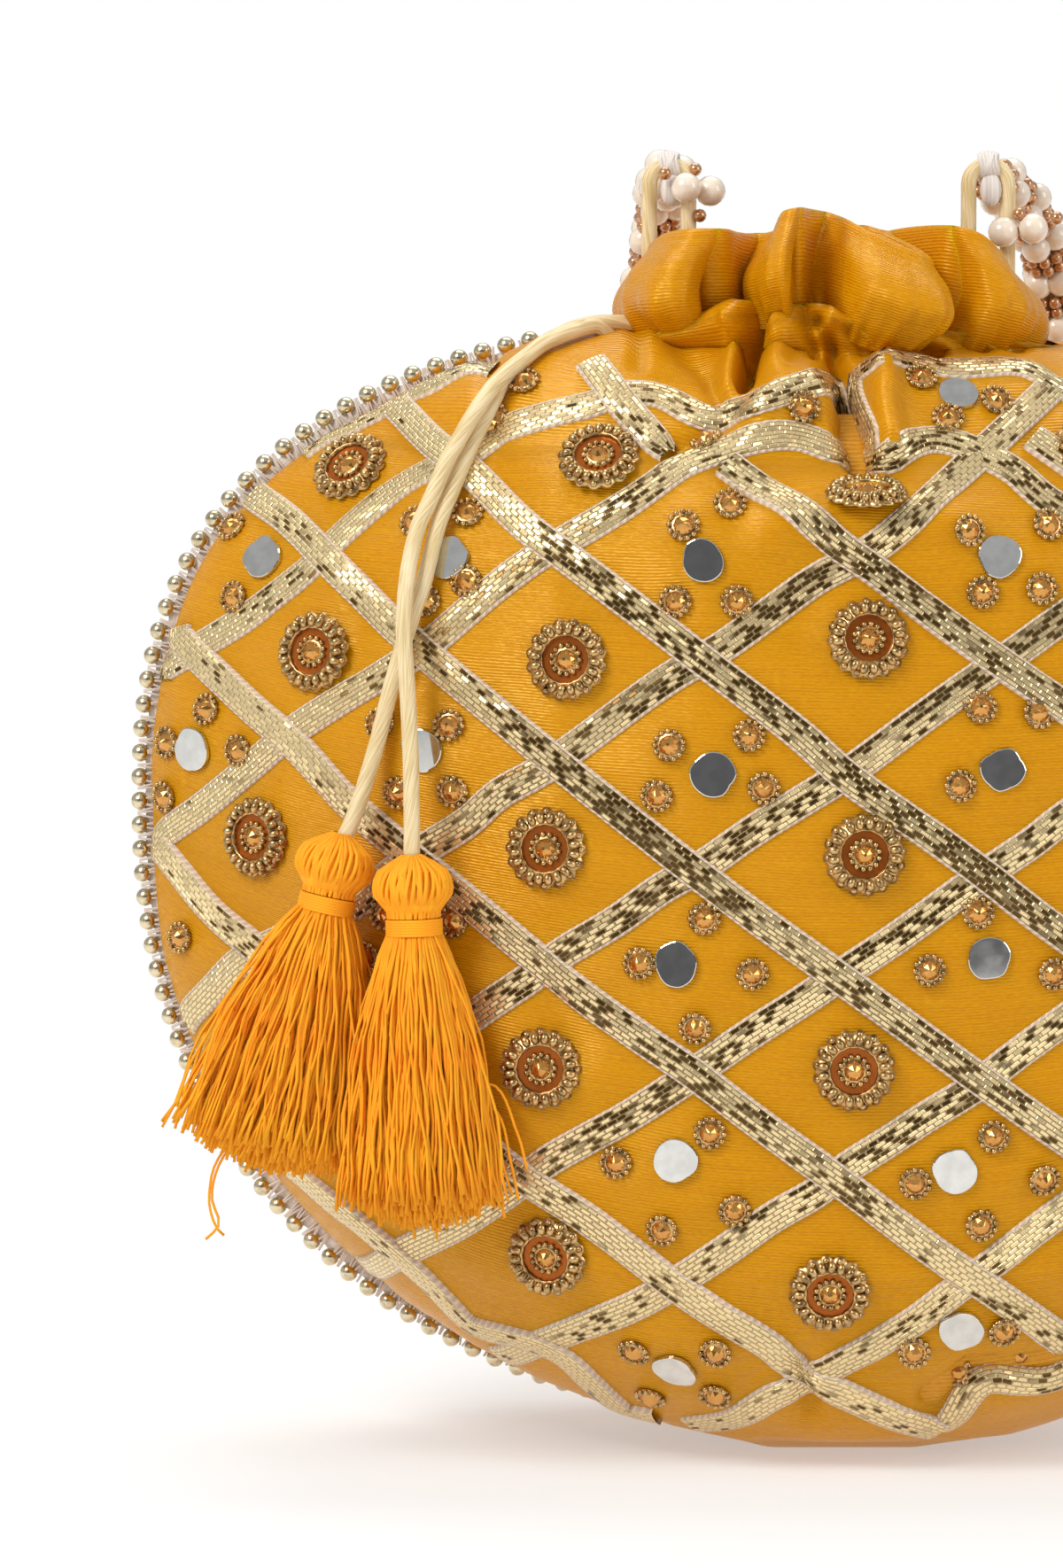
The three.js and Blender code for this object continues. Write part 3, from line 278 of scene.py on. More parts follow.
ROPE = [
    (-30, 12, 213.8), (-30, 20, 214), (-30.4, 29, 212.5), (-31.5, 38, 205), (-33, 45.5, 191),
    (-33.5, 51.5, 173), (-31.5, 56, 153), (-26, 59, 132), (-16, 60.5, 115), (-2, 61, 107),
    (13, 60.5, 112), (26, 59, 127), (34, 56.5, 147), (38, 52, 168), (38.5, 46, 187),
    (36.5, 38.5, 201), (32, 29.5, 209.5), (27, 20, 213.2), (24, 12, 213.8),
]
ARCHES = {"handle_loop_left": -30.0, "handle_loop_right": 24.0}
ARCH_Y = 6.0
ARCH_SPAN = 6.6
ARCH_TOP = 216.0
ARCH_FOOT = 190.5
ARCH_BEADS = [
    ((-27.2, 3.0, 212.0), "pearl"), ((-23.0, 7.0, 211.6), "pearl"), ((-25.6, 5.5, 215.2), "seed"),
    ((-30.8, 1.8, 214.4), "seed"), ((-24.8, 5.0, 207.4), "seed"), ((31.4, 3.4, 205.2), "pearl"),
    ((26.4, 3.4, 204.6), "pearl"), ((29.0, 3.2, 207.6), "seed"), ((35.6, 5.6, 207.0), "seed"),
]


def srgb(red, green, blue):
    """A colour given as 0 to 255, in the linear scale that the shaders use."""
    scaled = [value / 255 for value in (red, green, blue)]
    return tuple(value / 12.92 if value <= 0.04045 else ((value + 0.055) / 1.055) ** 2.4 for value in scaled)


def faded(colour, share):
    """The colour, darkened to a share of itself."""
    return tuple(value * share for value in colour)


def length_setting(name, description, default):
    """A length in metres that the user can change."""
    return bpy.props.FloatProperty(
        name=name, description=description, default=default, min=0.0, subtype="DISTANCE", unit="LENGTH"
    )


def colour_setting(name, description, colour):
    """A colour that the user can change."""
    return bpy.props.FloatVectorProperty(
        name=name, description=description, default=srgb(*colour), size=3, min=0.0, max=1.0, subtype="COLOR"
    )


class PotliSizes(bpy.types.PropertyGroup):
    """The sizes of the soft parts and of the trim."""

    quilting: length_setting("Quilting", "How far the cloth swells between the ribbons", 0.0009)
    ribbon_width: length_setting("Ribbon width", "Width of the woven metal ribbon", 0.0054)
    ribbon_rise: length_setting("Ribbon rise", "How proud of the cloth a ribbon lies", 0.0003)
    plate_length: length_setting("Plate length", "Length of a shiny plate in the ribbon weave", 0.0018)
    plate_width: length_setting("Plate width", "Width of a shiny plate in the ribbon weave", 0.00075)
    thread_pitch: length_setting("Thread pitch", "Distance between the cross threads of the satin", 0.0005)
    ball_diameter: length_setting("Edge ball", "Diameter of the metal balls on the edge lace", 0.0031)
    ball_pitch: length_setting("Edge ball pitch", "Distance between the balls on the edge lace", 0.0040)
    cord_diameter: length_setting("Cord", "Diameter of the satin drawstring", 0.0027)
    tassel_thread: length_setting("Tassel thread", "Diameter of one thread of a tassel", 0.00058)
    flower_radius: length_setting("Flower radius", "Radius of the metal flowers", 0.0067)
    stone_radius: length_setting("Stone radius", "Radius of the small set stones", 0.00285)
    mirror_radius: length_setting("Mirror radius", "Radius of the cut mirrors", 0.0037)
    pearl_diameter: length_setting("Pearl", "Diameter of the pearls of the rope", 0.0052)
    seed_diameter: length_setting("Seed bead", "Diameter of the seed beads of the rope", 0.0023)


class PotliColours(bpy.types.PropertyGroup):
    """The colours of the bag."""

    satin: colour_setting("Satin", "Colour of the pouch and frill", (220, 157, 4))
    satin_shade: colour_setting("Satin threads", "Colour between the threads", (197, 124, 2))
    lining: colour_setting("Lining", "Colour of the lining", (236, 170, 60))
    ribbon: colour_setting("Ribbon", "Bright plates of the ribbon", (240, 214, 160))
    # Painted reflection: the colour of the ribbon plates that are painted dark
    ribbon_painted_shade: colour_setting("Ribbon shade", "Dark plates of the ribbon", (92, 66, 22))
    ribbon_edge: colour_setting("Ribbon edge", "Edge threads of the ribbon", (236, 212, 186))
    balls: colour_setting("Edge balls", "Metal of the edge balls", (230, 214, 178))
    tape: colour_setting("Edge tape", "Tape under the edge balls", (234, 222, 210))
    flower: colour_setting("Flowers", "Metal of the flowers", (214, 178, 122))
    recess: colour_setting("Recess", "Foil in the middle of a flower", (172, 92, 26))
    amber: colour_setting("Stones", "Cut stones", (220, 158, 80))
    mirror: colour_setting("Mirrors", "Cut mirrors", (224, 222, 216))
    cord: colour_setting("Cord", "Satin cord", (240, 220, 178))
    tassel: colour_setting("Tassels", "Tassel threads", (255, 178, 24))
    pearl: colour_setting("Pearls", "Pearls of the rope", (242, 226, 206))
    seed: colour_setting("Seed beads", "Seed beads of the rope", (204, 150, 106))
    thread: colour_setting("Thread", "White binding thread", (238, 230, 222))
    floor: colour_setting("Floor", "Floor and backdrop", (255, 255, 255))


shop = {}


def sizes():
    return bpy.context.scene.potli_sizes


def colours():
    return bpy.context.scene.potli_colours


class Socket:
    """A value in a node tree that ordinary arithmetic works on."""

    def __init__(self, paint, node, output=0):
        self.paint = paint
        self.node = node
        self.socket = node.outputs[output] if node.outputs else None

    def math(self, operation, *others):
        values = dict(enumerate((self, *others)))
        return self.paint.node("ShaderNodeMath", {"operation": operation}, values)

    def __add__(self, other):
        return self.math("ADD", other)

    def __mul__(self, other):
        return self.math("MULTIPLY", other)

    def __sub__(self, other):
        return self.math("SUBTRACT", other)

    def __truediv__(self, other):
        return self.math("DIVIDE", other)

    def __rsub__(self, other):
        return self * -1.0 + other

    __radd__ = __add__
    __rmul__ = __mul__

    def over(self, edge):
        return self.math("GREATER_THAN", edge)

    def ramp(self, low, high):
        """0 below low, 1 above high and smooth between them."""
        settings = {"interpolation_type": "SMOOTHSTEP"}
        return self.paint.node("ShaderNodeMapRange", settings, {"Value": self, 1: low, 2: high})


class Paint:
    """The node tree of a material or of the world."""

    def __init__(self, owner):
        owner.use_nodes = True
        self.owner = owner
        self.tree = owner.node_tree
        self.tree.nodes.clear()

    def feed(self, socket, value):
        if isinstance(value, Socket):
            self.tree.links.new(value.socket, socket)
        elif socket.type == "RGBA":
            socket.default_value = (*value[:3], 1.0)
        else:
            socket.default_value = value

    def node(self, kind, settings=None, values=None, output=0):
        """One node of any kind, with its settings and the values or sockets that feed it."""
        made = self.tree.nodes.new(kind)
        for key, value in (settings or {}).items():
            setattr(made, key, value)
        for key, value in (values or {}).items():
            self.feed(made.inputs[key], value)
        return Socket(self, made, output)

    def set(self, key, value):
        self.feed(self.shader.node.inputs[key], value)

    def place(self):
        """The point on the piece, in metres."""
        return self.node("ShaderNodeTexCoord", output="Object")

    def along_and_across(self):
        """The two lengths in millimetres that each mesh carries in its UV map."""
        laid = self.node("ShaderNodeUVMap", {"uv_map": "laid"})
        parts = self.node("ShaderNodeSeparateXYZ", None, {0: laid})
        return parts, Socket(self, parts.node, 1)

    def vector(self, x=0.0, y=0.0, z=0.0):
        return self.node("ShaderNodeCombineXYZ", None, {0: x, 1: y, 2: z})

    def noise(self, vector, scale=1.0, detail=2.0, roughness=0.5):
        values = {"Vector": vector, "Scale": scale, "Detail": detail, "Roughness": roughness}
        return self.node("ShaderNodeTexNoise", None, values)

    def mix(self, factor, first, second):
        return self.node("ShaderNodeMix", {"data_type": "RGBA"}, {0: factor, 6: first, 7: second}, 2)

    def bump(self, height, distance, strength):
        values = {"Height": height, "Distance": distance, "Strength": strength}
        self.set("Normal", self.node("ShaderNodeBump", None, values))


def principled(name, **values):
    """A new material with one principled shader, and the values of that shader's sockets."""
    paint = Paint(bpy.data.materials.new(name))
    paint.shader = paint.node("ShaderNodeBsdfPrincipled")
    paint.output = paint.node("ShaderNodeOutputMaterial", None, {"Surface": paint.shader})
    for key, value in values.items():
        paint.set(key.replace("_", " "), value)
    return paint


def satin(name, colour, shade, pitch):
    """Satin: fine cross threads, streaks that follow them and a broad sheen."""
    paint = principled(
        name, Specular_IOR_Level=0.75, Specular_Tint=(1.0, 0.68, 0.2), Sheen_Weight=0.06, Sheen_Roughness=0.4,
        Sheen_Tint=(1.0, 0.55, 0.08), Subsurface_Weight=0.3, Subsurface_Radius=(1.0, 0.42, 0.05),
        Subsurface_Scale=0.005,
    )
    across, up = paint.along_and_across()
    waver = paint.noise(paint.vector(across * 0.05, up * 0.12), 1.0, 1.0)
    thread = ((up + waver * 1.4) * (math.tau / pitch)).math("SINE") * 0.5 + 0.5
    streak = paint.noise(paint.vector(across * 0.06, up * 2.8), 1.0, 3.0, 0.6)
    broad = paint.noise(paint.vector(across * 0.02, up * 0.03))
    slub = paint.noise(paint.vector(across * 0.9, up * 4.4), 1.0, 1.0)
    depth = thread * 0.34 + streak.ramp(0.3, 0.75) * 0.3 + slub.ramp(0.35, 0.7) * 0.36
    paint.set("Base Color", paint.mix(depth, shade, colour))
    paint.set("Roughness", streak * 0.14 + broad * 0.18 + 0.15)
    paint.bump(thread * 0.8 + streak * 0.5 + slub * 0.8, 0.00011, 0.9)
    return paint.owner


def woven_ribbon():
    """Woven metal ribbon: brick rows of plates, each tilted its own way, between edge threads."""
    tone = colours()
    paint = principled("ribbon")
    along, across = paint.along_and_across()
    rows = across / (sizes().plate_width * 1000)
    row = rows.math("FLOOR")
    shifted = along / (sizes().plate_length * 1000) + row * 0.5
    spot = paint.vector(shifted.math("FLOOR"), row, 3.0)
    chance = paint.node("ShaderNodeTexWhiteNoise", {"noise_dimensions": "3D"}, {"Vector": spot})
    local = shifted.math("FRACT")
    side = rows.math("FRACT")
    inside = local.ramp(0.0, 0.14) * (1.0 - local.ramp(0.86, 1.0)) * side.ramp(0.02, 0.2)
    inside = inside * (1.0 - side.ramp(0.8, 0.98))
    # Painted reflection: plates painted dark or bright by chance, in clouds, more dark near the front middle
    zone = paint.noise(paint.vector(along * 0.04, across * 0.1, 1.5)).ramp(0.42, 0.62)
    ends = {0: paint.place(), 1: (0.0, -0.05, 0.105)}
    far = paint.node("ShaderNodeVectorMath", {"operation": "DISTANCE"}, ends, 1).ramp(0.04, 0.1)
    bright = (chance + zone * 0.42 + far * 0.42).ramp(0.52, 0.7)
    # Painted shade: the gaps between plates are darker, and darker still near the middle of the front
    gap = paint.mix(far, faded(tone.ribbon, 0.36), faded(tone.ribbon, 0.7))
    metal = paint.mix(inside, gap, paint.mix(bright, tone.ribbon_painted_shade, tone.ribbon))
    edge = across.math("ABSOLUTE").over(sizes().ribbon_width * 500 - 0.42)
    strand = ((along * 0.9 + across * 1.2) * 5.0).math("SINE") * 0.5 + 0.5
    thread = paint.mix(strand, faded(tone.ribbon_edge, 0.72), tone.ribbon_edge)
    paint.set("Base Color", paint.mix(edge, metal, thread))
    paint.set("Metallic", (1.0 - edge) * 0.72)
    paint.set("Roughness", edge * 0.42 + 0.25)
    tilt = (local - 0.5) * (chance - 0.5) * 2.6 + (side - 0.5) * (chance * 7.3).math("SINE") * 0.5
    paint.bump((inside * 0.7 + tilt) * (1.0 - edge) + edge * strand, 0.00022, 0.9)
    return paint.owner


def clouded(name, colour, scale, shade, unevenness, roughness, **values):
    """A material clouded in colour and roughness, so that it never looks like one flat colour."""
    paint = principled(name, **values)
    detail, low, high = unevenness
    cloud = paint.noise(paint.place(), scale, detail)
    paint.set("Base Color", paint.mix(cloud.ramp(low, high), faded(colour, shade), tuple(colour)))
    paint.set("Roughness", cloud * roughness[1] + roughness[0])
    return paint.owner


def worn_metal(name, colour, roughness, shade):
    """Plated metal, clouded darker at random in small marks."""
    return clouded(name, colour, 900.0, shade, (3.0, 0.3, 0.62), (roughness - 0.1, 0.2), Metallic=1.0)


def spun(name, colour, shade, pitch, roughness, sheen):
    """Thread or cord whose filaments run along it."""
    paint = principled(
        name, Roughness=roughness, Sheen_Weight=sheen, Sheen_Tint=colour, Specular_IOR_Level=0.4
    )
    around, along = paint.along_and_across()
    fibre = paint.noise(paint.vector(around / pitch + along * 0.35, along * 0.12))
    mark = paint.noise(paint.vector(around * 2.0, along * 0.7), 1.0, 1.0)
    paint.set("Base Color", paint.mix(fibre.ramp(0.32, 0.66) * 0.85 + mark * 0.15, shade, colour))
    paint.bump(fibre, 0.00012, 0.8)
    return paint.owner


def plain(name, colour, roughness, **values):
    """A smooth material with slight clouding."""
    return clouded(name, colour, 420.0, 0.86, (2.0, 0.3, 0.7), (roughness, 0.06), **values)


def material(name):
    """The named material, made once."""
    if name not in shop["materials"]:
        tone = colours()
        pitch = sizes().thread_pitch * 1000
        recipes = {
            "satin": (satin, tone.satin_shade, pitch),
            "lining": (satin, tone.satin_shade, pitch * 1.6),
            "balls": (worn_metal, 0.22, 0.7),
            "flower": (worn_metal, 0.3, 0.4),
            "tape": (spun, srgb(206, 188, 172), 0.3, 0.5, 0.3),
            "cord": (spun, srgb(206, 178, 118), 0.35, 0.42, 0.25),
            "tassel": (spun, srgb(255, 154, 12), 0.3, 0.75, 0.35),
            "thread": (spun, srgb(196, 184, 174), 0.3, 0.6, 0.2),
            "recess": (plain, 0.32),
            "amber": (plain, 0.12),
            "mirror": (plain, 0.02),
            "pearl": (plain, 0.2),
            "seed": (plain, 0.2),
        }
        extras = {
            "recess": {"Metallic": 0.75},
            "amber": {"Metallic": 0.92, "Coat_Weight": 0.3, "Coat_Roughness": 0.05},
            "mirror": {"Metallic": 1.0},
            "pearl": {"Coat_Weight": 0.6, "Coat_Roughness": 0.12},
            "seed": {"Metallic": 0.65, "Coat_Weight": 0.5},
        }
        if name == "ribbon":
            shop["materials"][name] = woven_ribbon()
        else:
            make, *given = recipes[name]
            shop["materials"][name] = make(name, getattr(tone, name), *given, **extras.get(name, {}))
    return shop["materials"][name]


def stand(name, data):
    """A new object in the scene, made of the data."""
    thing = bpy.data.objects.new(name, data)
    bpy.context.scene.collection.objects.link(thing)
    return thing


class Sheaf:
    """Gathers points, faces, their two laid lengths and their paint into one mesh."""

    def __init__(self, *paints):
        self.paints = paints
        self.points, self.laid, self.faces, self.slots = [], [], [], []
        self.count = 0

    def add(self, points, faces, laid=None, paint=0):
        points = np.asarray(points, float).reshape(-1, 3)
        self.points.append(points)
        self.laid.append(points[:, [0, 2]] if laid is None else np.asarray(laid, float).reshape(-1, 2))
        self.faces.extend(tuple(index + self.count for index in face) for face in faces)
        self.slots.extend([paint] * len(faces))
        self.count += len(points)

    def copies(self, shape, places, paint=0):
        """The shape at each place, where a place is a 4 by 4 matrix."""
        points, faces = shape
        for place in places:
            turned = points @ np.array(place.to_3x3()).T + np.array(place.translation)
            self.add(turned, faces, points[:, :2], paint)

    def piece(self, name, slot, body, replaces=(), smooth=True):
        points = np.concatenate(self.points)
        points[:, 1] += shop["seam"]
        mesh = bpy.data.meshes.new(name)
        mesh.from_pydata((points / 1000).tolist(), [], self.faces)
        corners = np.empty(len(mesh.loops), int)
        mesh.loops.foreach_get("vertex_index", corners)
        mesh.uv_layers.new(name="laid").data.foreach_set("uv", np.concatenate(self.laid)[corners].ravel())
        for paint in self.paints:
            mesh.materials.append(material(paint))
        mesh.polygons.foreach_set("material_index", self.slots)
        mesh.polygons.foreach_set("use_smooth", [smooth] * len(self.faces))
        mesh.update()
        piece = stand(name, mesh)
        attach(piece, body)
        if replaces:
            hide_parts(*replaces)
        return piece


def solo(paint, shape, name, slot, node):
    """A piece of the bag that is one shape and stands for one node."""
    sheaf = Sheaf(paint)
    sheaf.add(*shape)
    return sheaf.piece(name, slot, "bag", (node,))


def grid_faces(rows, columns, closed=False, turned=False):
    """Quads of a grid of rows by columns points."""
    faces = []
    for row in range(rows - 1):
        for column in range(columns if closed else columns - 1):
            after = (column + 1) % columns
            low, high = row * columns, (row + 1) * columns
            face = (low + column, low + after, high + after, high + column)
            faces.append(face[::-1] if turned else face)
    return faces


def ball(radius, columns=12, rows=7, squash=1.0):
    """A ball as points and faces."""
    points = [(0, 0, -radius * squash)]
    for row in range(1, rows):
        angle = math.pi * row / rows - math.pi / 2
        for column in range(columns):
            turn = math.tau * column / columns
            flat = radius * math.cos(angle)
            points.append((flat * math.cos(turn), flat * math.sin(turn), radius * squash * math.sin(angle)))
    points.append((0, 0, radius * squash))
    faces = [(0, 1 + (column + 1) % columns, 1 + column) for column in range(columns)]
    middle = grid_faces(rows - 1, columns, closed=True)
    faces += [tuple(index + 1 for index in face) for face in middle]
    top = len(points) - 1
    first = top - columns
    faces += [(top, first + column, first + (column + 1) % columns) for column in range(columns)]
    return np.array(points, float), faces


def lathe(profile, columns, scallops=0, depth=0.0):
    """A turned shape from (radius, height) pairs, with an optional scalloped rim."""
    points = []
    for radius, height in profile:
        for column in range(columns):
            turn = math.tau * column / columns
            edge = depth * (abs(math.cos(scallops * turn / 2)) - 0.5) if scallops else 0.0
            reach = radius + edge * min(1.0, radius / profile[0][0]) ** 4
            points.append((reach * math.cos(turn), reach * math.sin(turn), height))
    return np.array(points, float), grid_faces(len(profile), columns, closed=True)


def spline(a, b, c, d, t):
    """The point at a share t of the way from b to c, on a smooth curve through all four."""
    square = (2 * a - 5 * b + 4 * c - d) * t * t
    return 0.5 * (2 * b + (c - a) * t + square + (3 * b - a - 3 * c + d) * t ** 3)


def curve_through(points, step):
    """Evenly spaced points on a smooth curve through the given ones."""
    points = [Vector(point) for point in points]
    ends = [points[0] * 2 - points[1], *points, points[-1] * 2 - points[-2]]
    fine = []
    for index in range(len(points) - 1):
        fine += [spline(*ends[index:index + 4], part / 16) for part in range(16)]
    fine.append(points[-1])
    reach = [0.0]
    for first, second in zip(fine, fine[1:]):
        reach.append(reach[-1] + (second - first).length)
    count = max(2, round(reach[-1] / step))
    spaced = []
    place = 0
    for index in range(count + 1):
        target = reach[-1] * index / count
        while place < len(fine) - 2 and reach[place + 1] < target:
            place += 1
        span = reach[place + 1] - reach[place]
        share = (target - reach[place]) / span if span else 0.0
        spaced.append(fine[place].lerp(fine[place + 1], min(1.0, max(0.0, share))))
    return spaced


def eased(path, times, weight=2.0):
    """The path with its corners eased. Its two ends stay."""
    for _ in range(times):
        between = [(a + b * weight + c) / (weight + 2) for a, b, c in zip(path, path[1:], path[2:])]
        path = [path[0], *between, path[-1]]
    return path


def beside(path, index):
    """The points before and after one point of a path."""
    return path[max(0, index - 1)], path[min(len(path) - 1, index + 1)]


def circle(centre, side, other, reach, count):
    """The points of a circle, or of an oval where the two sides differ."""
    turns = [math.tau * part / count for part in range(count)]
    return [centre + (side * math.cos(turn) + other * math.sin(turn)) * reach for turn in turns]


def lengths_along(points):
    """How far along its line each point lies."""
    steps = np.linalg.norm(np.diff(points, axis=0), axis=-1)
    return np.concatenate([[0.0], np.cumsum(steps)])


def tube(path, radius, sides, closed=False, twist=0.0, capped=False):
    """Points, faces and laid lengths of a tube along a path. Radius may be one value or one a point."""
    count = len(path)
    radii = radius if isinstance(radius, (list, tuple)) else [radius] * count
    side = None
    points, laid = [], []
    along = 0.0
    for index, place in enumerate(path):
        before = path[index - 1] if index or closed else place
        after = path[(index + 1) % count] if index < count - 1 or closed else place
        forward = (after - before).normalized()
        if side is None:
            side = forward.orthogonal().normalized()
        side = (side - forward * side.dot(forward)).normalized()
        other = forward.cross(side)
        along += (place - path[index - 1]).length if index else 0.0
        for step in range(sides):
            turn = math.tau * step / sides + twist * along
            points.append(place + (side * math.cos(turn) + other * math.sin(turn)) * radii[index])
            laid.append((abs(step / sides - 0.5) * math.tau * radii[index], along))
    faces = grid_faces(count, sides, closed=True)
    if closed:
        last = (count - 1) * sides
        faces += [(last + s, last + (s + 1) % sides, (s + 1) % sides, s) for s in range(sides)]
    if capped:
        faces += [tuple(range(sides))[::-1], tuple(range((count - 1) * sides, count * sides))]
    return [tuple(point) for point in points], faces, laid


def smooth(value, low, high):
    """0 below low, 1 above high and smooth between them, for arrays."""
    share = np.clip((value - low) / (high - low), 0.0, 1.0)
    return share * share * (3 - 2 * share)


def away_from(points, centre):
    """The unit vector from the centre to each point."""
    away = points - centre
    return away / np.linalg.norm(away, axis=-1, keepdims=True)


def skin(latitude, bearing, inset):
    """Points of the front of the pouch: latitude from foot to neck, bearing from right to left seam."""
    sine = np.abs(np.sin(np.radians(latitude)))
    cosine = np.cos(np.radians(latitude))
    upper = latitude >= 0
    seam_power = np.where(upper, 2 / SHOULDER_EXPONENT, 2 / HIP_EXPONENT)
    middle_power = np.where(upper, 2 / CROWN_EXPONENT, 2 / BELLY_EXPONENT)
    half_width = (SEAM_HALF_WIDTH - inset) * cosine ** seam_power
    half_depth = (HALF_DEPTH - inset) * cosine ** middle_power
    drop = WIDEST_HEIGHT - SEAM_BASE_HEIGHT
    seam_height = WIDEST_HEIGHT + np.where(upper, SEAM_RISE - inset, inset - drop) * sine ** seam_power
    groove = np.maximum(0.0, 1 - (half_depth / GROOVE_HALF_WIDTH) ** 2) ** 2
    crown = FULLEST_HEIGHT + (CROWN_RISE - inset) * sine ** middle_power
    belly = np.maximum(0.0, FULLEST_HEIGHT - BELLY_DROP * sine ** middle_power) + SEAM_BASE_HEIGHT * groove
    settled = FOOT_SETTLE * smooth(-latitude, 30, 60)
    middle_height = np.where(upper, crown, belly + inset) - settled
    to_neck = smooth(latitude, LATITUDE_PLEATS, LATITUDE_TOP)
    roundness = BODY_ROUNDNESS + (NECK_ROUNDNESS - BODY_ROUNDNESS) * to_neck
    sharpness = BODY_SHARPNESS + (NECK_SHARPNESS - BODY_SHARPNESS) * to_neck
    across = np.cos(bearing)
    along = np.maximum(0.0, 1 - np.abs(across) ** roundness) ** sharpness
    lift = np.abs(np.sin(bearing)) ** LEVEL_DROOP
    height = np.maximum(inset, seam_height + (middle_height - seam_height) * lift)
    return np.stack([half_width * across, -half_depth * along, height], axis=-1)


def skin_grid(rows, columns, bottom, top, crowding, inset):
    """A grid of points of the pouch, with the share up and latitude of its rows and its bearings."""
    share = np.linspace(0, 1, rows) ** crowding
    latitude = bottom + (top - bottom) * share
    bearing = np.linspace(0, math.pi, columns)
    return skin(latitude[:, None], bearing[None, :], inset), share, latitude, bearing


def looking():
    """The axes of the picture: forward, right and up."""
    forward = (AIM - EYE).normalized()
    right = Vector((1.0, 0.0, 0.0))
    return forward, right, right.cross(forward)


def sight(pixel):
    """The direction from the eye through a pixel of the picture."""
    forward, right, up = looking()
    reach = (AIM - EYE).length
    across = (pixel[0] - MIDDLE_PX[0]) * MM_PER_PX
    rise = (MIDDLE_PX[1] - pixel[1]) * MM_PER_PX
    return (forward * reach + right * across + up * rise).normalized()


def seen_at(points):
    """The pixels at which points are seen."""
    forward, right, up = (np.array(axis) for axis in looking())
    reach = (AIM - EYE).length
    away = points - np.array(EYE)
    scale = reach / (away @ forward) / MM_PER_PX
    return np.stack([MIDDLE_PX[0] + (away @ right) * scale, MIDDLE_PX[1] - (away @ up) * scale], axis=-1)


def line_distance(spots, line):
    """The distance of each pixel from a line of pixels."""
    best = np.full(spots.shape[:-1], 1e9)
    for first, second in zip(line, line[1:]):
        start, run = np.array(first, float), np.array(second, float) - np.array(first, float)
        share = np.clip(((spots - start) @ run) / (run @ run), 0.0, 1.0)
        nearest = start + share[..., None] * run
        best = np.minimum(best, np.linalg.norm(spots - nearest, axis=-1))
    return best


def rough(points, scale, seed):
    """Smooth noise at each point, from about -1 to 1."""
    flat = points.reshape(-1, 3) * scale
    values = [noise.noise(Vector((x + seed, y - seed, z + seed * 0.7))) for x, y, z in flat]
    return np.array(values).reshape(points.shape[:-1])


def normals_of(grid):
    """Unit normals of a grid of points."""
    rows = np.gradient(grid, axis=0)
    columns = np.gradient(grid, axis=1)
    normal = np.cross(columns, rows)
    length = np.linalg.norm(normal, axis=-1, keepdims=True)
    return normal / np.maximum(length, 1e-9)


def neck_height(x):
    xs, zs = zip(*NECK_LINE)
    return np.interp(x, xs, zs)


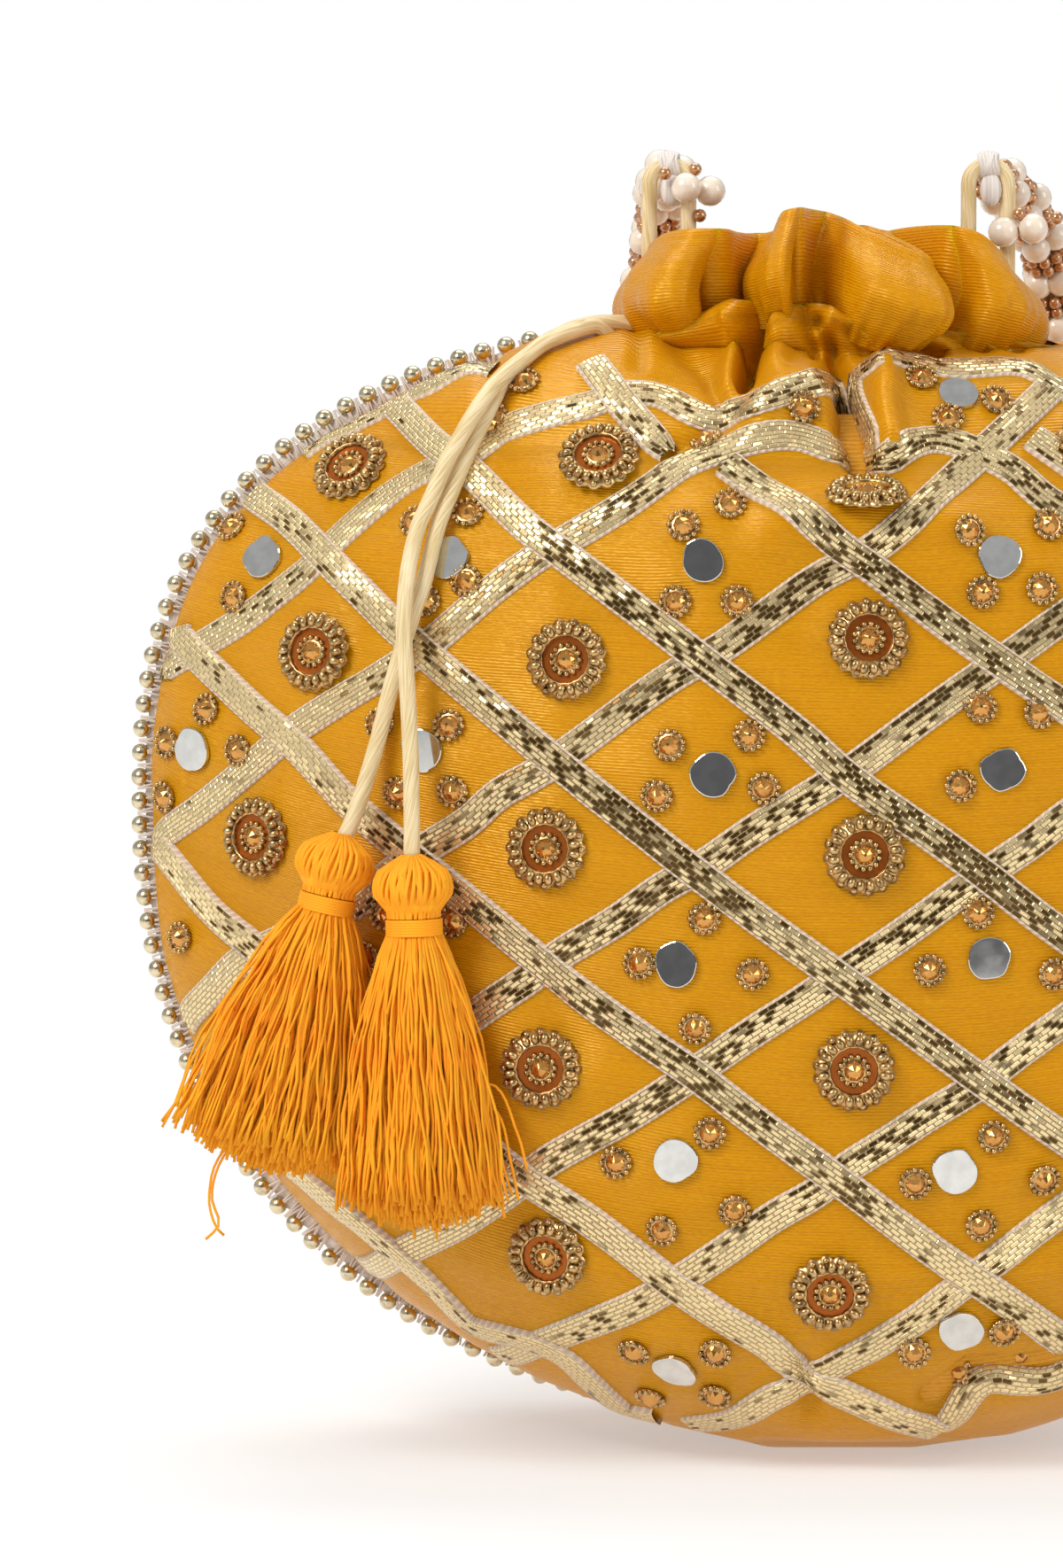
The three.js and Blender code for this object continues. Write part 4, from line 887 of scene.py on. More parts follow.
def front_grid(rows, columns, neck_rows):
    """The front cloth, with its swells between the ribbons, its gathers and its neck."""
    cloth, share, _, bearing = skin_grid(rows, columns, LATITUDE_BOTTOM, LATITUDE_TOP, ROW_CROWDING, 0.0)
    normal = normals_of(cloth)
    facing = np.sum(normal * (cloth - HEART), axis=-1)
    normal *= np.where(facing.mean() < 0, -1, 1)
    # The neck, drawn in from the shoulder to the casing
    ring_x = COLLAR_CENTRE + COLLAR_HALF_WIDTH * np.cos(bearing)
    ring_y = -(COLLAR_HALF_DEPTH + 0.9) * np.sin(bearing)
    ring = np.stack([ring_x, ring_y, neck_height(ring_x)], axis=-1)
    out = np.stack([np.cos(bearing), -np.sin(bearing), np.zeros(columns)], axis=-1)
    neck = []
    for index in range(1, neck_rows + 1):
        part = index / neck_rows
        bow = 1.8 * math.sin(math.pi * min(1.0, part * 0.9))
        gather = 0.22 * np.cos(bearing * 71 + 3.1 * np.sin(bearing * 7)) * part
        neck.append(cloth[-1] + (ring - cloth[-1]) * part + out * (bow + gather)[:, None])
    cloth = np.concatenate([cloth, np.array(neck)])
    normal = np.concatenate([normal, np.broadcast_to(out, (neck_rows, columns, 3))])
    # Swells between the ribbons, uneven cloth, then the gathers that the picture shows
    spots = seen_at(cloth)
    from_seam = np.minimum(bearing, math.pi - bearing)[None, :]
    rows_share = np.concatenate([share, np.ones(neck_rows)])[:, None]
    free = smooth(from_seam, 0.0, 0.3) * smooth(rows_share, 0.0, 0.03)
    nearest = np.full(spots.shape[:-1], 1e9)
    for route in RIBBONS_RISING_PX + RIBBONS_FALLING_PX:
        nearest = np.minimum(nearest, line_distance(spots, route))
    puff = sizes().quilting * 1000 * smooth(nearest, 10, 70)
    puff += 0.55 * rough(cloth, 0.035, 3.1) + 0.22 * rough(cloth * np.array([1, 1, 2.2]), 0.09, 8.4)
    for line, half, swell in SWELLS_PX:
        puff += swell * np.exp(-(line_distance(spots, line) / half) ** 2)
    for line, half, depth in FOLDS_PX:
        puff -= depth * np.exp(-(line_distance(spots, line) / half) ** 2)
    cloth = cloth + normal * (puff * free)[..., None]
    # A fuller edge along the sides of the seam
    rim = smooth(from_seam, 0.0, 0.12) * (1 - smooth(from_seam, 0.16, 0.5)) * (cloth[..., 2] < 184)
    rim = rim * smooth(cloth[..., 2], 48, 78) * (1 - smooth(cloth[..., 2], 168, 184))
    cloth[..., 0] += 1.9 * rim * np.sign(cloth[..., 0])
    # The front of the foot, which hangs a little off the floor
    ahead = smooth(-cloth[..., 1], 9, 30) * (1 - smooth(cloth[..., 2], 0, 46))
    cloth[..., 2] = np.maximum(cloth[..., 2], 0.05) + FOOT_LIFT * ahead
    cloth[..., 1] -= SEAM_GAP
    tuck = cloth[-1] + np.stack([-np.cos(bearing), np.sin(bearing), -np.ones(columns) * 1.2], axis=-1) * 1.6
    return np.concatenate([cloth, tuck[None]])


def laid_lengths(grid):
    """Lengths across and up a cloth grid, for the threads."""
    up = lengths_along(grid[:, grid.shape[1] // 2])
    return np.stack([grid[..., 0], np.broadcast_to(up[:, None], grid.shape[:2])], axis=-1)


def front_cloth():
    """The front cloth and its search tree, made once."""
    if "front" not in shop:
        rows, columns = ((200, 240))
        grid = front_grid(rows, columns, 12)
        faces = grid_faces(grid.shape[0], columns)
        tree = BVHTree.FromPolygons([tuple(point) for point in grid.reshape(-1, 3)], faces)
        shop["front"] = (grid, faces, tree)
    return shop["front"]


def on_cloth(pixel):
    """The point and outward normal of the front cloth under a pixel."""
    tree = front_cloth()[2]
    middle = Vector((0.0, -10.0, WIDEST_HEIGHT))
    aim = EYE + sight(pixel) * 1000.0
    for part in range(26):
        target = aim.lerp(middle, part * 0.01)
        hit, normal, _, _ = tree.ray_cast(EYE, (target - EYE).normalized())
        if hit is not None:
            return hit, (normal if normal.y < 0 or normal.dot(hit - middle) > 0 else -normal)
    raise RuntimeError(f"no cloth is seen at pixel {pixel}")


def outward(normal, point):
    """The normal turned to point out of the pouch."""
    return normal if normal.dot(point - Vector(HEART)) > 0 else -normal


def upright(point, normal, spin=0.0):
    """A matrix at the point whose Z axis is the normal."""
    turn = normal.to_track_quat("Z", "Y").to_matrix().to_4x4()
    return Matrix.Translation(point) @ turn @ Matrix.Rotation(spin, 4, "Z")


class POTLI_OT_camera(bpy.types.Operator):
    """Place the camera where the picture was taken from"""

    bl_idname = "potli.camera"
    bl_label = "Camera"

    def execute(self, context):
        lens = bpy.data.cameras.new("camera")
        lens.lens = LENS
        lens.sensor_width = LONG_SIDE
        lens.clip_start = 0.05
        lens.clip_end = 20.0
        camera = stand("camera", lens)
        camera.rotation_mode = "QUATERNION"
        camera.rotation_quaternion = (AIM - EYE).to_track_quat("-Z", "Y")
        camera.location = (EYE + Vector((0.0, shop["seam"], 0.0))) / 1000
        context.scene.camera = camera
        return {"FINISHED"}


def hang(name):
    """The top of a tassel and the way that it hangs."""
    lean = math.radians(TASSELS[name]["lean"])
    return Vector(TASSELS[name]["top"]), Vector((-math.sin(lean), -0.02, -math.cos(lean))).normalized()


def tassel(name, chance):
    """The head, binding and skirt of one tassel, in one mesh."""
    plan = TASSELS[name]
    top, down = hang(name)
    side = Vector((1.0, 0.0, 0.0))
    side = (side - down * side.dot(down)).normalized()
    front = down.cross(side)
    front = -front if front.y > 0 else front
    thread = sizes().tassel_thread * 500
    sheaf = Sheaf("tassel")
    head, neck, head_reach = 10.0, 4.0, 6.3
    # The threads of the head, which swirl and close in at the neck
    for index in range(96):
        turn = math.tau * index / 96
        path = []
        for part in range(9):
            share = part / 8
            reach = head_reach * math.sin(math.pi * (0.12 + 0.74 * share)) ** 0.7
            reach = reach if share > 0.2 else reach * (0.45 + 2.75 * share)
            if share > 0.6:
                reach += (neck - reach) * smooth(share, 0.6, 1.0)
            swirl = turn + 0.1 * math.sin(5 * turn) + 0.12 * math.sin(3.0 * share + index)
            out = side * math.cos(swirl) + front * math.sin(swirl) * 0.9
            path.append(top + down * (head * share - 0.4) + out * reach)
        sheaf.add(*tube(path, 0.36 + 0.1 * chance.random(), 4))
    core = Matrix.Translation(top + down * 5.0) @ Matrix.Diagonal((5.9, 5.4, 5.4, 1.0))
    sheaf.copies(ball(1.0, 20, 12), [core])
    for index in range(6):
        centre = top + down * (head + 0.1 + index * 0.42)
        sheaf.add(*tube(circle(centre, side, front * 0.9, neck + 0.35, 28), 0.36, 5, closed=True))
    # The skirt
    count = 900
    start = top + down * (head + 1.2)
    fall = plan["length"] - head
    for index in range(count):
        turn = GOLDEN_ANGLE * index
        inner = math.sqrt((index + 0.5) / count)
        base = side * math.cos(turn) + front * math.sin(turn) * 0.88
        wander = chance.gauss(0, 0.055) * plan["wild"]
        tip = side * (math.cos(turn) + wander * 2.6) + front * math.sin(turn) * 0.52
        reach = fall * (1.0 - 0.03 * inner + chance.gauss(0, 0.022))
        reach *= 1.0 - 0.06 * inner * inner * plan["wild"]
        tip -= side * (0.1 * plan["wild"] * math.cos(turn) * chance.random())
        waves = [chance.uniform(0, 6.28) for _ in range(3)]
        sway = 0.55 * plan["wild"]
        path = []
        for part in range(11):
            share = part / 10
            spread = share ** 0.8
            out = base * (neck * inner * (1 - spread)) + tip * (plan["skirt"] * inner * spread)
            out += side * sway * share * math.sin(waves[0] + 7.0 * share + turn)
            out += side * 0.35 * math.sin(waves[2] + 15.0 * share) * min(1.0, share * 4)
            out += front * 0.55 * share * math.sin(waves[1] + 6.0 * share)
            bow = math.sin(math.pi * min(1.0, share * 1.1)) * 1.2 * inner
            path.append(start + down * (reach * share) + out + base * bow)
        sheaf.add(*tube(path, thread * (0.86 + 0.3 * chance.random()), 3, capped=True))
    for number, points in enumerate(plan["stray"]):
        loose = curve_through([start + down * 30.0 + side * number, *points], 1.5)
        sheaf.add(*tube(loose, thread, 4, capped=True))
    return sheaf


class POTLI_OT_cords(bpy.types.Operator):
    """Build the two ends of the drawstring and their tassels"""

    bl_idname = "potli.cords"
    bl_label = "Drawstring and tassels"

    def execute(self, context):
        radius = sizes().cord_diameter * 500
        resting = radius + 0.25
        chance = random.Random(11)
        tree = front_cloth()[2]
        for hand, points in (("left", STRAND_LEFT), ("right", STRAND_RIGHT)):
            end, name = f"tassel_{hand}", f"drawstring_{hand}"
            hung = tassel(end, chance).piece(f"{end}_threads", "tassel_thread", "bag", (end,))
            clear = []
            for place in curve_through(points, 0.8):
                spot, normal, _, _ = tree.find_nearest(place)
                normal = outward(normal, spot)
                over = (place - spot).dot(normal)
                sunk = place.x < -40.5 and -6.0 < over < resting
                clear.append(place + normal * (resting - over) if sunk else place)
            top, down = hang(end)
            clear = eased(clear + [top + down * depth for depth in (1.0, 3.0, 5.0, 7.0, 9.0, 11.0, 13.0)], 3)
            shape = tube(clear, radius, 14, twist=0.12, capped=True)
            strand = solo("cord", shape, f"{name}_cord", "cream_cord", name)
            metres = [[p.x / 1000, (p.y + shop["seam"]) / 1000, p.z / 1000] for p in clear]
            length = sum((second - first).length for first, second in zip(clear, clear[1:]))
        loop = []
        for part in range(120):
            turn = math.radians(190 + 348 * part / 119)
            height = 188.9 - 3.2 * part / 119
            loop.append(Vector((COLLAR_CENTRE + 28.2 * math.cos(turn), 11.6 * math.sin(turn), height)))
        shape = tube(loop, radius, 10, capped=True)
        solo("cord", shape, "drawstring_loop_cord", "cream_cord", "drawstring_loop")
        return {"FINISHED"}


class POTLI_OT_cloth(bpy.types.Operator):
    """Build the front, the back and the lining of the pouch"""

    bl_idname = "potli.cloth"
    bl_label = "Pouch cloth"

    def execute(self, context):
        grid, faces, _ = front_cloth()
        solo("satin", (grid, faces, laid_lengths(grid)), "pouch_front", "satin", "front_panel")
        rows, columns = ((120, 150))
        cloth, share, latitude, bearing = skin_grid(
            rows, columns, LATITUDE_BOTTOM, LATITUDE_TOP, ROW_CROWDING, 0.0
        )
        free = smooth(np.minimum(bearing, math.pi - bearing)[None, :], 0.0, 0.3)
        free = free * smooth(share[:, None], 0.0, 0.08)
        pleat = np.cos(bearing * 22 + 1.4 * np.sin(bearing * 3)) * (1.0 + 0.5 * np.sin(bearing * 5 + 0.6))
        gather = smooth(latitude, 44, 77)[:, None] * pleat[None, :]
        ripple = 1.3 * rough(cloth, 0.026, 21.0) + 0.5 * rough(cloth * np.array([1, 1, 0.5]), 0.07, 2.0)
        cloth += away_from(cloth, HEART) * ((ripple + gather * 1.2) * free)[..., None]
        cloth[..., 2] = np.maximum(cloth[..., 2], 0.05)
        cloth[..., 1] = SEAM_GAP - cloth[..., 1]
        ring_x = COLLAR_CENTRE + COLLAR_HALF_WIDTH * np.cos(bearing)
        ring_z = 186.4 + 0.8 * np.cos(bearing * 14)
        ring = np.stack([ring_x, (COLLAR_HALF_DEPTH + 0.9) * np.sin(bearing), ring_z], axis=-1)
        neck = [cloth[-1] + (ring - cloth[-1]) * part / 4 for part in (1, 2, 3, 4)]
        neck.append(ring * np.array([0.95, 0.9, 1.0]) - np.array([0.0, 0.0, 1.8]))
        cloth = np.concatenate([cloth, np.array(neck)])
        faces = grid_faces(cloth.shape[0], columns, turned=True)
        solo("satin", (cloth, faces, laid_lengths(cloth)), "pouch_back", "satin", "back_panel")
        inner = skin_grid(40, 60, -88.0, LINING_TOP, 1.0, LINING_INSET)[0]
        sheaf = Sheaf("lining")
        sheaf.add(inner, grid_faces(40, 60), laid_lengths(inner))
        behind = inner * np.array([1.0, -1.0, 1.0])
        sheaf.add(behind, grid_faces(40, 60, turned=True), laid_lengths(inner))
        sheaf.piece("pouch_lining", "lining", "bag", ("lining",))
        return {"FINISHED"}


class POTLI_OT_frill(bpy.types.Operator):
    """Build the frill: lobes that open out of the gathered line and roll over at the hem"""

    bl_idname = "potli.frill"
    bl_label = "Frill"

    def execute(self, context):
        stations = np.array(FRILL_STATIONS + FRILL_BACK_STATIONS, float)
        parts = 11
        columns = len(stations) * parts
        rings = []
        for column in range(columns):
            index, part = divmod(column, parts)
            near = (stations[(index + shift) % len(stations)] for shift in (-1, 0, 1, 2))
            rings.append(spline(*near, part / parts))
        rings = np.array(rings)
        top = rings[:, :3] - np.array([0.0, 0.0, 1.4])
        foot_x, foot_z = rings[:, 3], rings[:, 4]
        number = np.arange(columns)
        front = number < len(FRILL_STATIONS) * parts
        share_x = np.clip((foot_x - COLLAR_CENTRE) / COLLAR_HALF_WIDTH, -1, 1)
        foot_y = COLLAR_HALF_DEPTH * np.sqrt(1 - share_x ** 2) * np.where(front, -1, 1)
        foot = np.stack([foot_x, foot_y, foot_z - 3.0], axis=-1)
        fine = np.sin(number * 0.9) * 0.4 + np.sin(number * 0.47 + 1.0) * 0.5 + np.sin(number * 0.23) * 0.4
        centre = np.array([COLLAR_CENTRE, 0.0])
        rows = []
        steps = 22
        for step in range(steps + 1):
            share = step / steps
            swell = 2.7 * math.sin(math.pi * min(1.0, share * 1.08)) ** 1.3
            puff = swell - 2.4 * max(0.0, share - 0.7) ** 2 / 0.09
            flat = foot[:, :2] + (top[:, :2] - foot[:, :2]) * float(smooth(share, -0.35, 0.5))
            flat = flat + away_from(flat, centre) * (puff + fine * 0.9 * (1 - share) ** 1.5)[:, None]
            rows.append(np.column_stack([flat, foot[:, 2] + (top[:, 2] - foot[:, 2]) * share]))
        hem = rows[-1]
        away = away_from(hem[:, :2], centre)
        for part in range(1, 6):
            turn = math.pi * part / 5
            inward = -1.5 * (1 - math.cos(turn))
            rows.append(np.column_stack([hem[:, :2] + away * inward, hem[:, 2] + 1.6 * math.sin(turn)]))
        inner = rows[-1]
        throat = foot[:, :2] * np.array([0.8, 0.66])
        for part in range(1, 10):
            share = part / 9
            flat = inner[:, :2] + (throat - inner[:, :2]) * share ** 1.3
            rows.append(np.column_stack([flat, inner[:, 2] + (THROAT_HEIGHT - inner[:, 2]) * share]))
        cloth = np.array(rows)
        cloth = np.concatenate([cloth, cloth[:, :1]], axis=1)
        wrinkle = 0.9 * rough(cloth, 0.1, 5.0) + 0.45 * rough(cloth * np.array([1.0, 1.0, 0.35]), 0.34, 9.0)
        ramp = np.zeros(len(rows))
        ramp[:steps + 1] = np.sin(np.linspace(0, math.pi, steps + 1))
        cloth = cloth + normals_of(cloth) * (wrinkle * ramp[:, None])[..., None]
        cloth[:, -1] = cloth[:, 0]
        around, tall = lengths_along(cloth[steps // 2]), lengths_along(cloth[:, 0])
        laid = np.stack(np.broadcast_arrays(around[None, :], tall[:, None]), axis=-1)
        shape = (cloth, grid_faces(len(rows), columns + 1), laid)
        solo("satin", shape, "frill_cloth", "satin", "frill")
        return {"FINISHED"}


def run_out(route):
    """The route, carried straight on to the seam where it leaves the picture."""
    route = list(route)
    if route[-1][0] <= PICTURE_RIGHT_PX:
        return route
    tree = front_cloth()[2]
    while len(route) > 2 and tree.ray_cast(EYE, sight(route[-1]))[0] is None:
        route.pop()
    first, last = Vector(route[-2]), Vector(route[-1])
    step = (last - first).normalized() * 9.0
    for _ in range(120):
        last = last + step
        if tree.ray_cast(EYE, sight(last))[0] is None:
            break
        route.append(tuple(last))
    return route


class POTLI_OT_ribbons(bpy.types.Operator):
    """Lay the woven ribbons over the front"""

    bl_idname = "potli.ribbons"
    bl_label = "Ribbons"

    def execute(self, context):
        tree = front_cloth()[2]
        half = sizes().ribbon_width * 500
        rise = sizes().ribbon_rise * 1000
        profile = [(-1.0, -0.25), (-0.97, 0.1), (-0.84, 0.2), (-0.42, 0.34), (0.0, 0.4)]
        profile += [(-share, height) for share, height in reversed(profile[:-1])]
        plans = [(route, rise) for route in RIBBONS_RISING_PX]
        plans += [(route, rise + 0.5) for route in RIBBONS_FALLING_PX]
        sheaf = Sheaf("ribbon")
        for number, (route, lift) in enumerate(plans):
            flat = curve_through([(x, y, 0.0) for x, y in run_out(route)], 9.0)
            middle = eased([on_cloth((spot.x, spot.y))[0] for spot in flat], 2)
            middle = curve_through(middle[::2] + ([middle[-1]] if len(middle) % 2 == 0 else []), 1.5)
            normals = eased([outward(tree.find_nearest(place)[1], place) for place in middle], 4, 1.0)
            points, laid = [], []
            along = number * 37.0
            for index, place in enumerate(middle):
                before, after = beside(middle, index)
                side = (after - before).cross(normals[index]).normalized()
                along += (place - before).length
                for share, height in profile:
                    spot, normal, _, _ = tree.find_nearest(place + side * (share * half))
                    over = height + lift if abs(share) < 1 else height
                    points.append(tuple(spot + outward(normal, spot) * over))
                    laid.append((along, share * half))
            sheaf.add(points, grid_faces(len(middle), len(profile)), laid)
        sheaf.piece("ribbon_lattice_woven", "ribbon", "bag", ("ribbon_lattice",))
        return {"FINISHED"}


def seam_line(step):
    """Evenly spaced points of the side seam, from the left shoulder round the foot to the right one."""
    low = np.linspace(-89.4, 0, 60)
    high = np.linspace(0, 70, 50)[1:]
    latitude = np.concatenate([low, high])
    edge = skin(latitude, np.zeros(len(latitude)), 0.0)
    right = [Vector((point[0], 0.0, point[2])) for point in edge]
    left = [Vector((-point.x, 0.0, point.z)) for point in reversed(right)]
    return curve_through([tuple(point) for point in (left + right)[::2]], step)


class POTLI_OT_edge(bpy.types.Operator):
    """Build the lace along the seam: a tape with metal balls"""

    bl_idname = "potli.edge"
    bl_label = "Edge lace"

    def execute(self, context):
        line = seam_line(sizes().ball_pitch * 500)
        rims = []
        for index, place in enumerate(line):
            before, after = beside(line, index)
            forward = (after - before).normalized()
            out = Vector((forward.z, 0.0, -forward.x))
            rims.append(-out if out.dot(place - Vector((0.0, 0.0, WIDEST_HEIGHT))) < 0 else out)
        sheaf = Sheaf("balls", "tape")
        spots = [place + out * BALL_REACH for place, out in zip(line, rims)]
        places = [Matrix.Translation(spot) for spot in spots[1::2] if spot.z > 1.6]
        sheaf.copies(ball(sizes().ball_diameter * 500, 14, 9), places)
        points, laid = [], []
        for index, (place, out) in enumerate(zip(line, rims)):
            tip = 2.5 + 0.5 * (index % 2) if place.z > 0.9 else 1.0
            section = ((-0.9, 0.25), (1.0, 0.35), (tip, 0.12), (tip, -0.12), (1.0, -0.35), (-0.9, -0.25))
            for away, rise in section:
                points.append(tuple(place + out * away + Vector((0.0, rise, 0.0))))
                laid.append((away * 1.5, index * 2.2))
        sheaf.add(points, grid_faces(len(line), 6), laid, 1)
        chance = random.Random(4)
        for place, out in zip(line, rims):
            for _ in range(3 if place.z >= 1.5 else 0):
                slip = Vector((out.z, 0.0, -out.x)) * chance.uniform(-1.2, 1.2)
                start = place + out * 0.4 + slip + Vector((0.0, -0.4, 0.0))
                end = place + out * 3.9 + slip * 0.2 + Vector((0.0, -0.5, 0.0))
                bend = (start + end) / 2 + Vector((0.0, -0.4, 0.0))
                sheaf.add(*tube([start, bend, end], 0.22, 4), 1)
        sheaf.piece("edge_lace_balls", "gold_balls", "bag", ("edge_lace",))
        return {"FINISHED"}


def in_ring(place, count, reach, height):
    """Places evenly spaced round the Z axis of one place."""
    stepped = Matrix.Translation((reach, 0, height))
    return [place @ Matrix.Rotation(math.tau * index / count, 4, "Z") @ stepped for index in range(count)]


def set_stone(sheaf, place, reach, metal, amber, chance):
    """A small cut stone in its ring of tiny beads."""
    place = place @ Matrix.Scale(reach / STONE_DRAWN, 4)
    sheaf.copies(ball(0.5, 7, 5), in_ring(place, 13, 2.35, 0.55), metal)
    sheaf.copies(lathe([(2.45, 0.0), (2.5, 0.3), (1.8, 0.62), (0.0, 0.62)], 18), [place], metal)
    sheaf.copies(facets(1.75), [place @ Matrix.Rotation(chance.uniform(0, 6.28), 4, "Z")], amber)


def facets(radius):
    """A pointed stone with flat facets; each facet has points of its own, so its edges stay sharp."""
    points, faces = [], []
    rings = [(radius, 0.55, 0.0), (radius * 0.62, 1.25, 0.5), (radius * 0.16, 1.75, 0.0)]

    def face(*corners):
        faces.append(tuple(range(len(points), len(points) + len(corners))))
        for ring, index in corners:
            reach, height, turn = rings[ring]
            angle = math.tau * (index + turn) / 9
            points.append((reach * math.cos(angle), reach * math.sin(angle), height))

    for index in range(9):
        face((0, index), (0, index + 1), (1, index))
        face((0, index + 1), (1, index + 1), (1, index))
        face((1, index), (1, index + 1), (2, index + 1))
        face((1, index), (2, index + 1), (2, index))
    face(*((2, index) for index in range(9)))
    return np.array(points, float), faces


class POTLI_OT_trim(bpy.types.Operator):
    """Sew the flowers, the mirrors and the small stones to the front"""

    bl_idname = "potli.trim"
    bl_label = "Flowers, mirrors and stones"

    def execute(self, context):
        chance = random.Random(7)
        size = sizes().flower_radius * 1000 / FLOWER_DRAWN
        profile = [(6.35, 0.05), (6.4, 0.4), (5.2, 0.75), (4.2, 1.4), (3.95, 1.5), (3.8, 1.3), (3.7, 0.7)]
        flange = lathe(profile, 96, 16, 0.75)
        recess = lathe([(3.8, 0.7), (2.0, 0.62), (0.0, 0.6)], 30)
        pellet, outer = ball(1.0, 10, 7), ball(0.62, 8, 5)
        shape = Matrix.Diagonal((1.05, 0.74, 0.9, 1.0))
        for number, pixel in enumerate(FLOWERS_PX, 1):
            spot, normal = on_cloth(pixel)
            tilt = Matrix.Rotation(-math.radians(FLOWER_TILTS.get(pixel, 0.0)), 3, "X")
            place = upright(spot, tilt @ outward(normal, spot), chance.uniform(0, 6.28))
            place = place @ Matrix.Translation((0, 0, 0.15)) @ Matrix.Scale(size, 4)
            sheaf = Sheaf("flower", "recess", "amber")
            sheaf.copies(flange, [place])
            sheaf.copies(pellet, [held @ shape for held in in_ring(place, 20, 5.0, 1.3)])
            sheaf.copies(outer, in_ring(place, 16, 5.95, 0.62))
            sheaf.copies(recess, [place], 1)
            set_stone(sheaf, place @ Matrix.Translation((0, 0, 0.35)), STONE_DRAWN, 0, 2, chance)
            sheaf.piece(f"flower_{number:02d}_set", "flower_gold", "bag", (f"flower_{number:02d}",))
        corners = 11
        for number, pixel in enumerate(MIRRORS_PX, 1):
            spot, normal = on_cloth(pixel)
            place = upright(spot, outward(normal, spot), chance.uniform(0, 6.28))
            place = place @ Matrix.Translation((0, 0, 0.2)) @ Matrix.Rotation(chance.gauss(0, 0.03), 4, "X")
            reach = sizes().mirror_radius * 1000
            radii = [reach * chance.uniform(0.86, 1.06) for _ in range(corners)]
            rim = []
            for index in range(corners * 3):
                low, high = radii[index // 3], radii[(index // 3 + 1) % corners]
                turn = math.tau * index / (corners * 3)
                out = low + (high - low) * ((index % 3) / 3)
                rim.append((out * math.cos(turn), out * math.sin(turn)))
            points = []
            for share, height in ((1.0, -0.1), (0.99, 0.5), (0.95, 0.56)):
                points += [(x * share, y * share, height) for x, y in rim]
            count = len(rim)
            faces = grid_faces(3, count, closed=True) + [tuple(range(count * 2, count * 3))]
            sheaf = Sheaf("mirror")
            sheaf.copies((np.array(points), faces), [place])
            name = f"mirror_{number:02d}"
            sheaf.piece(f"{name}_glass", "mirror_glass", "bag", (name,), smooth=False)
        sheaf = Sheaf("flower", "amber")
        for pixel in STONES_PX:
            spot, normal = on_cloth(pixel)
            place = upright(spot, outward(normal, spot), chance.uniform(0, 6.28))
            place = place @ Matrix.Rotation(chance.gauss(0, 0.07), 4, "X") @ Matrix.Translation((0, 0, 0.1))
            set_stone(sheaf, place, sizes().stone_radius * 1000, 0, 1, chance)
        sheaf.piece("small_stones", "flower_gold", "bag")
        return {"FINISHED"}


